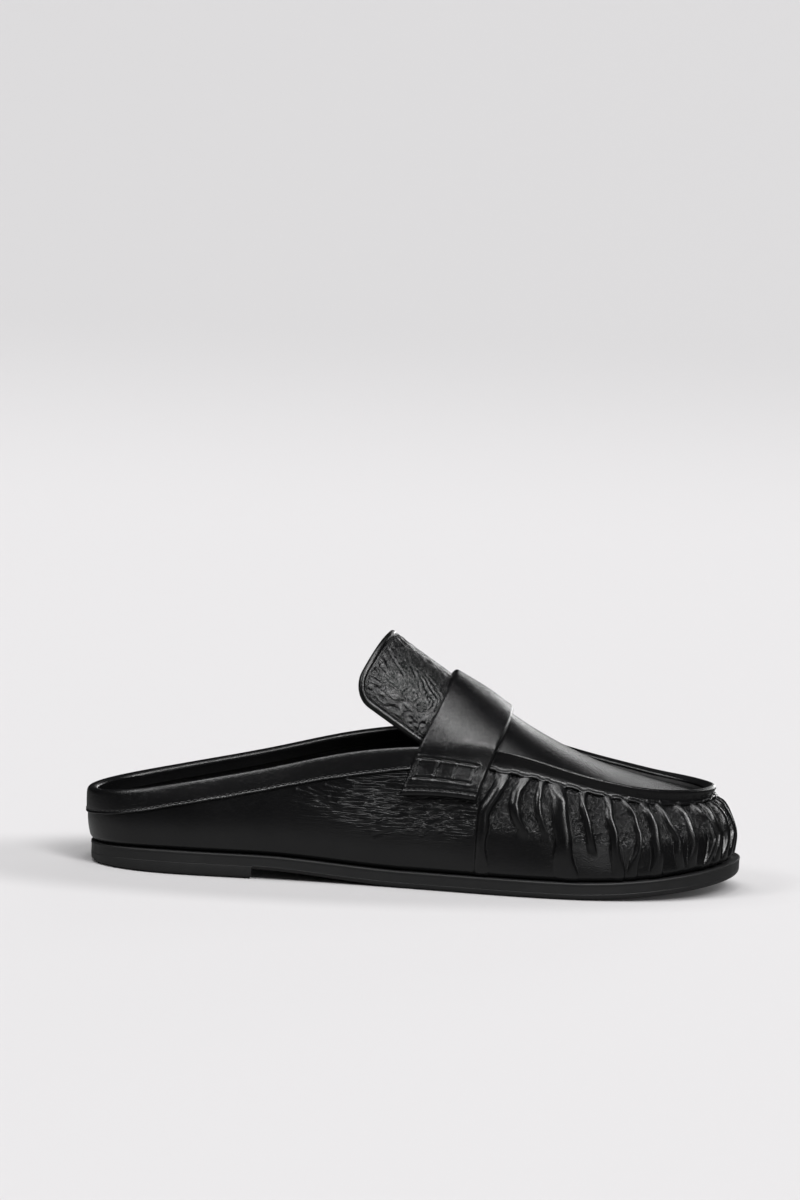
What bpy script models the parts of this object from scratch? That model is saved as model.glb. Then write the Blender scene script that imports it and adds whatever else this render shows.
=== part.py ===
"""Loafer mule, right foot, in black leather on a flat sole with a low heel lift.

Metres, +Z up. +X runs from the heel to the toe, and -Y is the outer side of the foot.
The shoe is set up on its last: a closed loop of sections runs round the sole's edge, and every
piece of the upper is worked out from those sections.
"""

import math

import bpy
import numpy as np

MM = 0.001

# Main sizes
SOLE_LENGTH = 264.5 * MM
BALL_WIDTH = 93.0 * MM
TOPLINE_HEIGHT = 58.0 * MM
INSTEP_HEIGHT = 76.0 * MM
FIT_GAP = 0.3 * MM
TANGENT_STEP = 0.2 * MM

# Sole and heel
FOREPART_THICK = 6.9 * MM
SEAT_THICK = 6.0 * MM
HEEL_LIFT = 3.7 * MM
HEEL_LENGTH = 66.0 * MM
SEAT_DIP = 1.4 * MM
SEAT_DIP_LENGTH = 34.0 * MM
TOE_SPRING = 6.2 * MM
TREAD_START = 0.49
SPRING_START = 0.74
SOLE_LEDGE = 0.5 * MM
SOLE_BEVEL = 0.8 * MM
HEEL_BEVEL = 0.9 * MM

# Upper
WALL_THICK = 2.0 * MM
RIM_THICK = 1.5 * MM
OVERLAY_SET_IN = 1.0 * MM
OVERLAY_THICK = 0.9 * MM
BAND_PROUD = 0.6 * MM
RIB_PROUD = 0.9 * MM
BAND_INNER_LEAF = 6.0 * MM
OVERLAY_TAPER = 14.0 * MM
RIM_EDGE = 1.3 * MM
PLUG_THICK = 1.8 * MM
PLUG_JOIN = 1.1 * MM
FOLD_HEIGHT = 1.9 * MM

# Tongue, strap and insole
TONGUE_THICK = 2.4 * MM
TONGUE_REACH = 30.8 * MM
TONGUE_RISE_DEG = 33.5
TONGUE_CORNER = 9.0 * MM
TONGUE_SPAN = 0.955
TONGUE_INSET = 3.6 * MM
TONGUE_BOW = 1.7 * MM
TONGUE_SKEW = 6.5 * MM
ARCH_GIRTH = 0.46 * BALL_WIDTH
TONGUE_FRONT_GAP = 0.5 * MM
STRAP_THICK = 2.3 * MM
STRAP_STANDOFF = 0.65 * MM
STRAP_DROP = 20.0 * MM
STRAP_SLANT = 0.37
INSOLE_THICK = 2.6 * MM
INSOLE_CLEARANCE = 0.9 * MM

# Stations of the last from heel (row 0) to toe (last row), as numbers of rows
THROAT_STATION = 7.27
JOINT_STATION = 7.95
STRAP_FRONT_STATION = 8.62
BAND_END_STATION = 7.52
RIB_END_STATION = 8.38
GATHER_STATION = 8.45

# One row for each section of the last, heel to toe.
# x: share of the sole's length. lateral, medial: the edge's distance from the centre line, and
# foot_in, seam_in, top_in: how far the wall's foot, the overlay's seam and the wall's top stand in
# from that edge, as shares of the ball's width. seam_z, top_z: their heights, as shares of the
# topline's height. lean_low, lean_high: the wall's lean outwards at the sole and inwards at the
# seam. crown_x, crown_z: the ridge line over the foot, as shares of length and instep height.
# drop: the arch's edge below the wall's top, in shares of the topline's height.
# arch: half the angle that the arch over the foot spans, in degrees.
LAST_COLUMNS = (
    "x", "lateral", "medial", "foot_in", "seam_in", "seam_z", "top_in", "top_z",
    "lean_low", "lean_high", "crown_x", "crown_z", "drop", "arch",
)
LAST = (
    (0.000, 0.000, 0.000, -0.005, -0.027, 0.350, -0.026, 0.520, 0.40, 0.00, 0.300, 1.500, 0.040, 66),
    (0.012, 0.133, 0.133, -0.004, -0.026, 0.360, -0.020, 0.532, 0.40, 0.02, 0.310, 1.490, 0.040, 66),
    (0.045, 0.236, 0.236, -0.002, -0.022, 0.394, -0.007, 0.562, 0.42, 0.10, 0.330, 1.460, 0.040, 66),
    (0.105, 0.312, 0.307, 0.003, -0.015, 0.462, 0.014, 0.618, 0.45, 0.20, 0.370, 1.410, 0.040, 66),
    (0.190, 0.341, 0.330, 0.006, -0.009, 0.548, 0.028, 0.702, 0.45, 0.26, 0.410, 1.340, 0.040, 66),
    (0.284, 0.357, 0.330, 0.007, -0.003, 0.652, 0.032, 0.804, 0.42, 0.26, 0.450, 1.270, 0.040, 66),
    (0.378, 0.378, 0.334, 0.008, 0.006, 0.748, 0.036, 0.914, 0.36, 0.28, 0.490, 1.195, 0.040, 66),
    (0.472, 0.414, 0.358, 0.009, 0.020, 0.828, 0.044, 0.985, 0.30, 0.30, 0.530, 1.122, 0.040, 66),
    (0.560, 0.460, 0.402, 0.010, 0.048, 0.868, 0.065, 1.008, 0.26, 0.42, 0.597, 0.993, 0.040, 66),
    (0.643, 0.502, 0.446, 0.011, 0.093, 0.856, 0.105, 0.970, 0.22, 0.66, 0.664, 0.840, 0.041, 64),
    (0.726, 0.522, 0.476, 0.013, 0.125, 0.778, 0.136, 0.872, 0.20, 0.95, 0.737, 0.706, 0.044, 58),
    (0.805, 0.504, 0.482, 0.015, 0.138, 0.707, 0.149, 0.796, 0.16, 1.20, 0.797, 0.617, 0.048, 48),
    (0.877, 0.441, 0.448, 0.018, 0.143, 0.662, 0.155, 0.748, 0.12, 1.45, 0.835, 0.575, 0.051, 40),
    (0.934, 0.340, 0.366, 0.022, 0.140, 0.645, 0.152, 0.728, 0.10, 1.65, 0.862, 0.550, 0.053, 36),
    (0.975, 0.206, 0.245, 0.023, 0.133, 0.642, 0.145, 0.718, 0.08, 1.80, 0.878, 0.538, 0.054, 34),
    (1.000, -0.032, 0.032, 0.023, 0.127, 0.645, 0.139, 0.716, 0.08, 1.85, 0.886, 0.533, 0.054, 34),
)

# One row for each gathered fold, from the strap on the outer side round the toe to the strap on
# the inner side. place, width and drift: shares of the gathered run. height: share of
# FOLD_HEIGHT. reach: how far down the wall it runs, as a share of the wall.
FOLD_COLUMNS = ("place", "width", "height", "reach", "drift")
FOLDS = (
    (0.030, 0.038, 1.00, 1.00, -0.055),
    (0.075, 0.036, 0.90, 0.60, -0.010),
    (0.115, 0.032, 0.70, 0.62, 0.006),
    (0.158, 0.046, 1.00, 1.05, 0.000),
    (0.203, 0.034, 0.90, 0.70, 0.000),
    (0.245, 0.038, 1.00, 1.05, 0.002),
    (0.285, 0.036, 0.95, 1.05, 0.004),
    (0.325, 0.038, 1.00, 1.05, 0.004),
    (0.360, 0.032, 0.90, 0.90, 0.008),
    (0.394, 0.032, 0.80, 0.75, 0.006),
    (0.426, 0.030, 0.90, 1.00, 0.004),
    (0.457, 0.030, 0.95, 1.00, 0.002),
    (0.488, 0.029, 0.85, 0.95, 0.000),
    (0.519, 0.030, 0.90, 1.00, 0.000),
    (0.550, 0.030, 0.90, 0.95, -0.002),
    (0.582, 0.031, 0.85, 0.90, -0.004),
    (0.614, 0.032, 0.95, 1.00, -0.006),
    (0.650, 0.036, 0.90, 0.80, -0.006),
    (0.688, 0.036, 1.00, 1.05, -0.004),
    (0.728, 0.038, 0.90, 0.95, -0.002),
    (0.768, 0.036, 0.95, 0.70, 0.000),
    (0.810, 0.042, 1.00, 1.05, 0.004),
    (0.852, 0.036, 0.85, 0.65, 0.006),
    (0.893, 0.036, 0.90, 0.70, 0.014),
    (0.930, 0.034, 0.80, 0.60, 0.024),
    (0.968, 0.036, 1.00, 1.00, 0.052),
)

# Colours as linear red, green and blue
LEATHER_BLACK = (0.012, 0.012, 0.013)
LINING_BLACK = (0.010, 0.010, 0.011)
RUBBER_BLACK = (0.016, 0.016, 0.017)


# The last

class ClosedSpline:
    """A smooth closed curve through rows of values, by distance along the loop."""

    def __init__(self, knots, rows, period):
        self.knots, self.rows, self.period = knots, rows, period
        count = len(knots)
        self.steps = np.diff(np.append(knots, period))
        system = np.zeros((count, count))
        target = np.zeros_like(rows)
        for i in range(count):
            before, after = self.steps[i - 1], self.steps[i]
            ahead = (i + 1) % count
            system[i, i - 1] += before
            system[i, i] += 2 * (before + after)
            system[i, ahead] += after
            rise = (rows[ahead] - rows[i]) / after
            target[i] = 6 * (rise - (rows[i] - rows[i - 1]) / before)
        self.bends = np.linalg.solve(system, target)

    def at(self, distance):
        distance = distance % self.period
        i = int(np.searchsorted(self.knots, distance, side="right")) - 1
        ahead = (i + 1) % len(self.knots)
        step = self.steps[i]
        b = (distance - self.knots[i]) / step
        a = 1 - b
        curve = (a**3 - a) * self.bends[i] + (b**3 - b) * self.bends[ahead]
        return a * self.rows[i] + b * self.rows[ahead] + curve * step**2 / 6


def last_table():
    """The rows of LAST as sizes, one array for each side of the foot."""
    unit = {
        "x": SOLE_LENGTH, "lateral": BALL_WIDTH, "medial": BALL_WIDTH,
        "foot_in": BALL_WIDTH, "seam_in": BALL_WIDTH, "top_in": BALL_WIDTH,
        "seam_z": TOPLINE_HEIGHT, "top_z": TOPLINE_HEIGHT, "drop": TOPLINE_HEIGHT,
        "crown_x": SOLE_LENGTH, "crown_z": INSTEP_HEIGHT, "arch": math.radians(1.0),
    }
    sizes = np.array(LAST) * [unit.get(name, 1.0) for name in LAST_COLUMNS]
    rest = sizes[:, 3:]
    lateral = np.column_stack([sizes[:, 0], -sizes[:, 1], rest])
    medial = np.column_stack([sizes[:, 0], sizes[:, 2], rest])
    return lateral, medial


LATERAL_ROWS, MEDIAL_ROWS = last_table()
TOE_STATION = len(LAST) - 1
LOOP_ROWS = np.vstack([LATERAL_ROWS, MEDIAL_ROWS[TOE_STATION - 1:0:-1]])
LOOP_CLOSED = np.vstack([LOOP_ROWS, LOOP_ROWS[:1]])
LOOP_STEPS = np.linalg.norm(np.diff(LOOP_CLOSED[:, :2], axis=0), axis=1)
LOOP_KNOTS = np.concatenate([[0.0], np.cumsum(LOOP_STEPS)[:-1]])
LOOP_LENGTH = float(LOOP_STEPS.sum())
LOOP = ClosedSpline(LOOP_KNOTS, LOOP_ROWS, LOOP_LENGTH)


def loop_place(side, station):
    """The distance round the loop of a station on a side: lateral is -1 and medial is 1."""
    if side < 0:
        return float(np.interp(station, np.arange(TOE_STATION + 1), LOOP_KNOTS[: TOE_STATION + 1]))
    knots = np.append(LOOP_KNOTS[TOE_STATION:], LOOP_LENGTH)
    return float(np.interp(TOE_STATION - station, np.arange(TOE_STATION + 1), knots))


def smooth(t):
    t = min(max(t, 0.0), 1.0)
    return t * t * (3 - 2 * t)


def sole_bottom(x):
    """Height of the outsole's underside: on the lift, down the shank, flat tread, toe spring."""
    tread, spring = TREAD_START * SOLE_LENGTH, SPRING_START * SOLE_LENGTH
    if x < HEEL_LENGTH:
        return HEEL_LIFT
    if x < spring:
        return HEEL_LIFT * (1 - smooth((x - HEEL_LENGTH) / (tread - HEEL_LENGTH)))
    return TOE_SPRING * max((x - spring) / (SOLE_LENGTH - spring), 0.0) ** 1.7


def sole_top(x):
    """Height of the outsole's upper face, which the upper and the insole stand on."""
    forward = (x - HEEL_LENGTH) / (TREAD_START * SOLE_LENGTH - HEEL_LENGTH)
    thick = SEAT_THICK + (FOREPART_THICK - SEAT_THICK) * smooth(forward)
    dip = SEAT_DIP * max(1 - max(x, 0.0) / SEAT_DIP_LENGTH, 0.0) ** 2
    return sole_bottom(x) + thick - dip


class Column:
    """One section of the last: a place on the sole's edge, and the wall that stands on it."""

    def __init__(self, place):
        values = LOOP.at(place)
        ahead, behind = LOOP.at(place + TANGENT_STEP), LOOP.at(place - TANGENT_STEP)
        along = (ahead[:2] - behind[:2]) / np.linalg.norm(ahead[:2] - behind[:2])
        self.place = place
        self.base = values[:2]
        self.outward = np.array([along[1], -along[0]])
        (self.foot_in, self.seam_in, self.seam_z, self.top_in, self.top_z,
         self.lean_low, self.lean_high,
         self.crown_x, self.crown_z, self.drop, self.arch) = values[2:]
        self.base_z = sole_top(self.base[0]) + FIT_GAP

    def point(self, out, height):
        """A point by its distance out from the sole's edge and its height."""
        x, y = self.base + self.outward * out
        return np.array([x, y, height])

    def wall(self, share):
        """The wall's outer face at a share of the way from sole to seam, and its normal."""
        start = np.array([-self.foot_in, self.base_z])
        end = np.array([-self.seam_in, self.seam_z])
        chord = np.linalg.norm(end - start)
        leave = np.array([self.lean_low, 1.0])
        arrive = np.array([-self.lean_high, 1.0])
        leave = leave / np.linalg.norm(leave) * chord
        arrive = arrive / np.linalg.norm(arrive) * chord
        t = share
        where = (
            (2 * t**3 - 3 * t**2 + 1) * start + (t**3 - 2 * t**2 + t) * leave
            + (3 * t**2 - 2 * t**3) * end + (t**3 - t**2) * arrive
        )
        run = (
            (6 * t**2 - 6 * t) * start + (3 * t**2 - 4 * t + 1) * leave
            + (6 * t - 6 * t**2) * end + (3 * t**2 - 2 * t) * arrive
        )
        normal = np.array([run[1], -run[0]]) / np.linalg.norm(run)
        return where, normal

    def rim(self, share, out):
        """A point at a share of the way from seam to top, a distance out from that line."""
        seam = np.array([-self.seam_in, self.seam_z])
        top = np.array([-self.top_in, self.top_z])
        run = (top - seam) / np.linalg.norm(top - seam)
        return seam + (top - seam) * share + np.array([run[1], -run[0]]) * out


# The gathered folds

GATHER_FROM = loop_place(-1, GATHER_STATION)
GATHER_RUN = loop_place(1, GATHER_STATION) - GATHER_FROM


def fold_height(place, share):
    """How far the gathered wall stands out there, at a share of its height."""
    run = (place - GATHER_FROM) / GATHER_RUN
    if not 0 < run < 1:
        return 0.0
    stands = 0.0
    for spot, width, height, reach, drift in FOLDS:
        away = abs(run - spot - drift * (1 - share)) / (width * 0.5)
        if away < 1:
            roll = math.cos(away * math.pi / 2) ** 1.5
            fades = smooth((share - (1 - reach)) / 0.35)
            stands = max(stands, height * roll * fades)
    pinch = 1 - smooth((share - 0.84) / 0.16)
    foot = 0.35 + 0.65 * smooth(share / 0.3)
    ends = smooth(run / 0.015) * smooth((1 - run) / 0.015)
    return FOLD_HEIGHT * stands * pinch * foot * ends


# Mesh helpers

def material(name, colour, roughness):
    made = bpy.data.materials.new(name)
    made.use_nodes = True
    shader = made.node_tree.nodes["Principled BSDF"]
    shader.inputs["Base Color"].default_value = (*colour, 1.0)
    shader.inputs["Roughness"].default_value = roughness
    shader.inputs["Metallic"].default_value = 0.0
    return made


def signed_volume(points, faces):
    """The volume that the faces enclose, negative when they face inwards."""
    points = np.array(points, float)
    total = 0.0
    for face in faces:
        corners = points[list(face)]
        for i in range(1, len(corners) - 1):
            total += np.dot(corners[0], np.cross(corners[i], corners[i + 1]))
    return total / 6


def add_node(name, points, faces, look, smooth_angle=40.0):
    """A named object from points and faces, its normals facing out."""
    if signed_volume(points, faces) < 0:
        faces = [tuple(reversed(face)) for face in faces]
    mesh = bpy.data.meshes.new(name)
    used = sorted({corner for face in faces for corner in face})
    order = {corner: i for i, corner in enumerate(used)}
    faces = [tuple(order[corner] for corner in face) for face in faces]
    mesh.from_pydata([tuple(map(float, points[corner])) for corner in used], [], faces)
    mesh.validate()
    node = bpy.data.objects.new(name, mesh)
    bpy.context.scene.collection.objects.link(node)
    mesh.materials.append(look)
    mesh.shade_smooth()
    mesh.set_sharp_from_angle(angle=math.radians(smooth_angle))
    node.parent = SHOE
    return node


def loft(sections, closed):
    """Points and faces of a solid whose closed sections follow each other, with capped ends."""
    count, size = len(sections), len(sections[0])
    points = [p for section in sections for p in section]
    faces = []
    for i in range(count if closed else count - 1):
        a, b = i * size, (i + 1) % count * size
        for j in range(size):
            k = (j + 1) % size
            faces.append((a + j, b + j, b + k, a + k))
    if not closed:
        faces.append(tuple(range(size)))
        faces.append(tuple((count - 1) * size + j for j in reversed(range(size))))
    return points, faces


def slab(upper, lower, folded=False):
    """Points and faces of a sheet with thickness, from two grids of points of one size.

    With folded, the last row's two halves are one line, so the sheet closes there without a rim.
    """
    rows, size = len(upper), len(upper[0])
    points = [p for row in upper for p in row] + [p for row in lower for p in row]
    under = rows * size

    def spot(i, j, below=0):
        if folded and i == rows - 1:
            j = min(j, size - 1 - j)
        return below + i * size + j

    faces = []
    for i in range(rows - 1):
        for j in range(size - 1):
            faces.append((spot(i, j), spot(i + 1, j), spot(i + 1, j + 1), spot(i, j + 1)))
            faces.append((
                spot(i, j, under), spot(i, j + 1, under),
                spot(i + 1, j + 1, under), spot(i + 1, j, under),
            ))
    for i in range(rows - 1):
        faces.append((spot(i, 0), spot(i, 0, under), spot(i + 1, 0, under), spot(i + 1, 0)))
        j = size - 1
        faces.append((spot(i, j), spot(i + 1, j), spot(i + 1, j, under), spot(i, j, under)))
    for j in range(size - 1):
        faces.append((spot(0, j), spot(0, j + 1), spot(0, j + 1, under), spot(0, j, under)))
        if not folded:
            i = rows - 1
            faces.append((spot(i, j), spot(i, j, under), spot(i, j + 1, under), spot(i, j + 1)))
    return points, faces


def stack(rings, tip):
    """Points and faces of a plate from rings one above another, bottom first.

    A ring runs from the heel up the lateral side, and back down the medial side. With a tip, one
    point of it is the toe; without one, the plate ends square there. Each cap is a strip of
    faces from side to side.
    """
    size = len(rings[0])
    points = [p for ring in rings for p in ring]
    faces = []
    for level in range(len(rings) - 1):
        a, b = level * size, (level + 1) * size
        for j in range(size):
            k = (j + 1) % size
            faces.append((a + j, a + k, b + k, b + j))
    pairs = (size - 2) // 2 if tip else (size - 1) // 2
    for start, flip in ((0, True), ((len(rings) - 1) * size, False)):
        cap = [(start, start + 1, start + size - 1)]
        for j in range(1, pairs):
            cap.append((start + j, start + j + 1, start + size - j - 1, start + size - j))
        if tip:
            cap.append((start + pairs, start + pairs + 1, start + pairs + 2))
        faces.extend(tuple(reversed(face)) if flip else face for face in cap)
    return points, faces


def edge_ring(stations, inset, height, inside_wall=False):
    """One ring of points in from the sole's edge, or from the wall's foot, at a height for each x."""
    places = [loop_place(-1, s) for s in stations]
    back = stations[1:-1] if stations[-1] >= TOE_STATION else stations[1:]
    places += [loop_place(1, s) for s in reversed(back)]
    ring = []
    for place in places:
        column = Column(place)
        far = inset + (max(column.foot_in, 0.0) if inside_wall else 0.0)
        x, y = column.base - column.outward * far
        ring.append(np.array([x, y, height(x)]))
    return ring


# The pieces

def make_outsole(look):
    stations = np.linspace(0.0, TOE_STATION, 44)
    levels = (
        (SOLE_BEVEL - SOLE_LEDGE, lambda x: sole_bottom(x)),
        (-SOLE_LEDGE, lambda x: sole_bottom(x) + SOLE_BEVEL),
        (-SOLE_LEDGE, lambda x: sole_top(x) - SOLE_BEVEL / 2),
        (SOLE_BEVEL / 2 - SOLE_LEDGE, lambda x: sole_top(x)),
    )
    rings = [edge_ring(stations, inset, height) for inset, height in levels]
    return add_node("outsole", *stack(rings, tip=True), look, 30.0)


def station_at(x):
    """The station whose section stands at a distance from the heel, on the lateral side."""
    stations = np.linspace(0.0, TOE_STATION, 400)
    places = [LOOP.at(loop_place(-1, s))[0] for s in stations]
    return float(np.interp(x, places, stations))


def make_heel_lift(look):
    stations = np.linspace(0.0, station_at(HEEL_LENGTH), 16)
    top = HEEL_LIFT - FIT_GAP
    levels = (
        (HEEL_BEVEL - SOLE_LEDGE, 0.0),
        (-SOLE_LEDGE, HEEL_BEVEL),
        (-SOLE_LEDGE, top),
    )
    rings = []
    for inset, height in levels:
        ring = edge_ring(stations, inset, lambda x, z=height: z)
        corner = len(stations) - 1
        for point in (ring[corner], ring[corner + 1]):
            point[0] = HEEL_LENGTH
        rings.append(ring)
    return add_node("heel_lift", *stack(rings, tip=False), look, 30.0)


def make_insole(look):
    stations = np.linspace(0.0, TOE_STATION, 36)
    inset = WALL_THICK + INSOLE_CLEARANCE
    round_over = INSOLE_THICK * 0.3
    levels = (
        (inset, lambda x: sole_top(x) + FIT_GAP),
        (inset, lambda x: sole_top(x) + FIT_GAP + INSOLE_THICK - round_over),
        (inset + round_over, lambda x: sole_top(x) + FIT_GAP + INSOLE_THICK),
    )
    rings = [edge_ring(stations, out, height, inside_wall=True) for out, height in levels]
    return add_node("insole", *stack(rings, tip=True), look, 30.0)


REAR_STATIONS = np.linspace(0.0, BAND_END_STATION, 22)
MIDDLE_STATIONS = np.linspace(BAND_END_STATION, RIB_END_STATION, 4)
FRONT_STATIONS = np.linspace(RIB_END_STATION, TOE_STATION, 53)


def wall_stations():
    """Stations of the wall: a few for the plain quarters, and close ones for the gathers."""
    return np.concatenate([REAR_STATIONS, MIDDLE_STATIONS[1:], FRONT_STATIONS[1:]])


def wall_section(column):
    """The closed section of the wall: outer face, step and top edge under the overlays, inner face."""
    section = []
    for share in (0.0, 0.16, 0.34, 0.52, 0.70, 0.86, 1.0):
        (out, height), normal = column.wall(share)
        stands = fold_height(column.place, share)
        section.append(column.point(out + normal[0] * stands, height + normal[1] * stands))
    step = -OVERLAY_SET_IN
    drop = RIM_EDGE / (column.top_z - column.seam_z)
    section.append(column.point(*column.rim(0.0, step)))
    section.append(column.point(*column.rim(1 - drop, step)))
    section.append(column.point(*column.rim(1 - drop, step - RIM_THICK)))
    section.append(column.point(*column.rim(0.0, step - RIM_THICK)))
    for share in (0.72, 0.36, 0.0):
        (out, height), normal = column.wall(share)
        if share == 0.0:
            normal = np.array([1.0, 0.0])
        section.append(column.point(out - normal[0] * WALL_THICK, height - normal[1] * WALL_THICK))
    return section


def crown_edge(column, inset):
    """Where the plug's edge meets the wall: in from the wall's top, and below it by the drop."""
    top = column.base - column.outward * (column.top_in + inset)
    return np.array([top[0], top[1], column.top_z - column.drop])


def arch_point(ridge, edge, turn, arch):
    """A point of a round arch in a leaning plane, from its ridge (turn 0) to its edge (turn 1)."""
    across = math.sin(turn * arch) / math.sin(arch)
    rise = (math.cos(turn * arch) - math.cos(arch)) / (1 - math.cos(arch))
    x, z = edge[[0, 2]] + (ridge[[0, 2]] - edge[[0, 2]]) * rise
    return np.array([x, ridge[1] + (edge[1] - ridge[1]) * across, z])


def ridge_of(station, inset):
    """The ridge point of a station, midway between the two edges of the arch."""
    pair = [Column(loop_place(side, station)) for side in (-1, 1)]
    middle = np.mean([crown_edge(column, inset)[1] for column in pair])
    return np.array([pair[0].crown_x, middle, pair[0].crown_z])


def crown_row(station, turns, inset):
    """Points of the arch over the foot at a station, turn -1 on the lateral edge to 1 on the medial."""
    ridge = ridge_of(station, inset)
    row = []
    for turn in turns:
        column = Column(loop_place(-1 if turn < 0 else 1, station))
        row.append(arch_point(ridge, crown_edge(column, inset), abs(turn), column.arch))
    return row


def normals_of(grid):
    """Unit normals of a grid of points, pointing up out of it."""
    down = np.gradient(grid, axis=0)
    over = np.gradient(grid, axis=1)
    normals = np.cross(down, over)
    lengths = np.linalg.norm(normals, axis=2, keepdims=True)
    normals = normals / np.maximum(lengths, 1e-12)
    return normals * np.where(normals[..., 2:].mean() < 0, -1.0, 1.0)


def sheet_normals(grid, folded=False):
    """Unit normals of a sheet; the line that a folded sheet closes on has no side slope."""
    normals = normals_of(grid)
    if folded:
        middle = grid.shape[1] // 2
        normals[-1][middle] = normals[-1][middle - 1]
        normals[-1] += normals[-1][::-1]
        normals[-1][:, 1] = 0.0
        normals[-1] /= np.linalg.norm(normals[-1], axis=1, keepdims=True)
    return normals


def make_plug(look):
    """The plug as a sheet whose sides run into the wall, ready to be joined with it."""
    inset = OVERLAY_SET_IN + RIM_THICK
    turns = np.linspace(-1, 1, 15)
    grid = []
    for station in np.linspace(JOINT_STATION, TOE_STATION, 25):
        row = crown_row(station, turns, inset)
        for side, end in ((-1, 0), (1, -1)):
            column = Column(loop_place(side, station))
            joined = row[end] + np.append(column.outward * PLUG_JOIN, 0.0)
            row.insert(0 if side < 0 else len(row), joined)
        grid.append(row)
    grid = np.array(grid)
    lower = grid - sheet_normals(grid, folded=True) * PLUG_THICK
    return add_node("plug", *slab(grid, lower, folded=True), look)


def make_upper(look):
    """The upper: gathered wall, quarters and plug as one hollow solid, open at throat and sole."""
    stations = wall_stations()
    places = [loop_place(-1, s) for s in stations]
    places += [loop_place(1, s) for s in stations[-2:0:-1]]
    sections = [wall_section(Column(place)) for place in places]
    upper = add_node("upper", *loft(sections, closed=True), look)
    plug = make_plug(look)
    plug.hide_render = True
    plug.display_type = "WIRE"
    join = upper.modifiers.new("join_plug", "BOOLEAN")
    join.operation = "UNION"
    join.solver = "EXACT"
    join.object = plug
    return upper


def overlay_section(column, proud, inner_leaf):
    """A strip over the wall's top edge: outer leaf, rounded top, and an inner leaf if it has one."""
    rise = column.top_z - column.seam_z
    low = FIT_GAP / rise
    outer = -OVERLAY_SET_IN + FIT_GAP
    inner = -OVERLAY_SET_IN - RIM_THICK
    under = 1 - (RIM_EDGE - FIT_GAP) / rise
    far = inner - FIT_GAP - OVERLAY_THICK if inner_leaf else inner
    middle = (proud + far) / 2
    shoulder = (proud - far) * 0.22
    places = [
        (low, proud * 0.4), (0.25, proud), (1 - shoulder * 1.2 / rise, proud),
        (1.0 - shoulder * 0.3 / rise, proud - shoulder * 0.7), (1.0, middle),
        (1.0 - shoulder * 0.3 / rise, far + shoulder * 0.7),
    ]
    if inner_leaf:
        leaf = 1 - inner_leaf / rise
        places += [(1 - shoulder * 1.2 / rise, far), (leaf, far), (leaf, inner - FIT_GAP)]
        places += [(under, inner - FIT_GAP)]
    else:
        places += [(1 - shoulder / rise, far), (under, far)]
    places += [(under, outer), (low, outer)]
    return [column.point(*column.rim(share, out)) for share, out in places]


def overlay_proud(place, ends, proud):
    """An overlay lies flush near its ends, under the strap, and stands proud elsewhere."""
    away = min(abs(place - end) for end in ends)
    return proud * (0.1 + 0.9 * smooth(away / OVERLAY_TAPER))


def make_collar_band(look):
    """The band folded over the topline, from under the strap round the heel and back."""
    ends = [loop_place(side, BAND_END_STATION) for side in (-1, 1)]
    places = [loop_place(1, s) for s in REAR_STATIONS[:0:-1]]
    places += [loop_place(-1, s) for s in REAR_STATIONS]
    sections = [
        overlay_section(Column(p), overlay_proud(p, ends, BAND_PROUD), BAND_INNER_LEAF)
        for p in places
    ]
    return add_node("collar_band", *loft(sections, closed=False), look)


def make_apron_rib(look):
    """The raised seam round the plug, from under the strap round the toe and back."""
    stations = FRONT_STATIONS[::2]
    ends = [loop_place(side, RIB_END_STATION) for side in (-1, 1)]
    places = [loop_place(-1, s) for s in stations] + [loop_place(1, s) for s in stations[-2::-1]]
    sections = [
        overlay_section(Column(p), overlay_proud(p, ends, RIB_PROUD), 0.0) for p in places
    ]
    return add_node("apron_rib", *loft(sections, closed=False), look)


def tongue_reach(turn, start, back, tip):
    """How far a line of the tongue runs back from the throat to the tongue's rear edge."""
    inside = max(TONGUE_CORNER - ARCH_GIRTH * (TONGUE_SPAN - abs(turn)), 0.0)
    corner = TONGUE_CORNER - math.sqrt(max(TONGUE_CORNER**2 - inside**2, 0.0))
    bow = TONGUE_BOW * math.sin(math.pi * abs(turn))
    return tip - start @ back + bow - corner - TONGUE_SKEW * max(turn, 0.0)


def tongue_grid():
    """The tongue's outer face: over the arch under the strap, then straight up and back."""
    rise = math.radians(TONGUE_RISE_DEG)
    back = np.array([-math.cos(rise), 0.0, math.sin(rise)])
    turns = TONGUE_SPAN * np.sin(np.linspace(-math.pi / 2, math.pi / 2, 23))
    start = JOINT_STATION - TONGUE_FRONT_GAP / SOLE_LENGTH * TOE_STATION
    rows = [
        crown_row(station, turns, TONGUE_INSET) for station in np.linspace(start, THROAT_STATION, 5)
    ]
    throat = rows[-1]
    tip = ridge_of(THROAT_STATION, TONGUE_INSET) @ back + TONGUE_REACH
    reaches = [tongue_reach(turn, point, back, tip) for turn, point in zip(turns, throat)]
    for share in np.linspace(0.0, 1.0, 9)[1:]:
        rows.append([point + back * reach * share for point, reach in zip(throat, reaches)])
    return np.array(rows)


def make_tongue(look):
    grid = tongue_grid()
    lower = grid - sheet_normals(grid) * TONGUE_THICK
    return add_node("tongue", *slab(grid, lower), look)


def wall_at(side, x, height):
    """The point of the wall's outer face at a distance from the heel and a height."""
    found = []
    for station in np.linspace(6.0, 10.0, 33):
        column = Column(loop_place(side, station))
        shares = np.linspace(0.0, 1.0, 21)
        heights = [column.wall(s)[0][1] for s in shares]
        if height <= column.seam_z:
            share = float(np.interp(height, heights, shares))
            out = column.wall(share)[0][0]
        else:
            up = (height - column.seam_z) / (column.top_z - column.seam_z)
            out = column.rim(up, 0.0)[0]
        found.append(column.point(out, height))
    found = np.array(found)
    return np.array([x, float(np.interp(x, found[:, 0], found[:, 1])), height])


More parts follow.
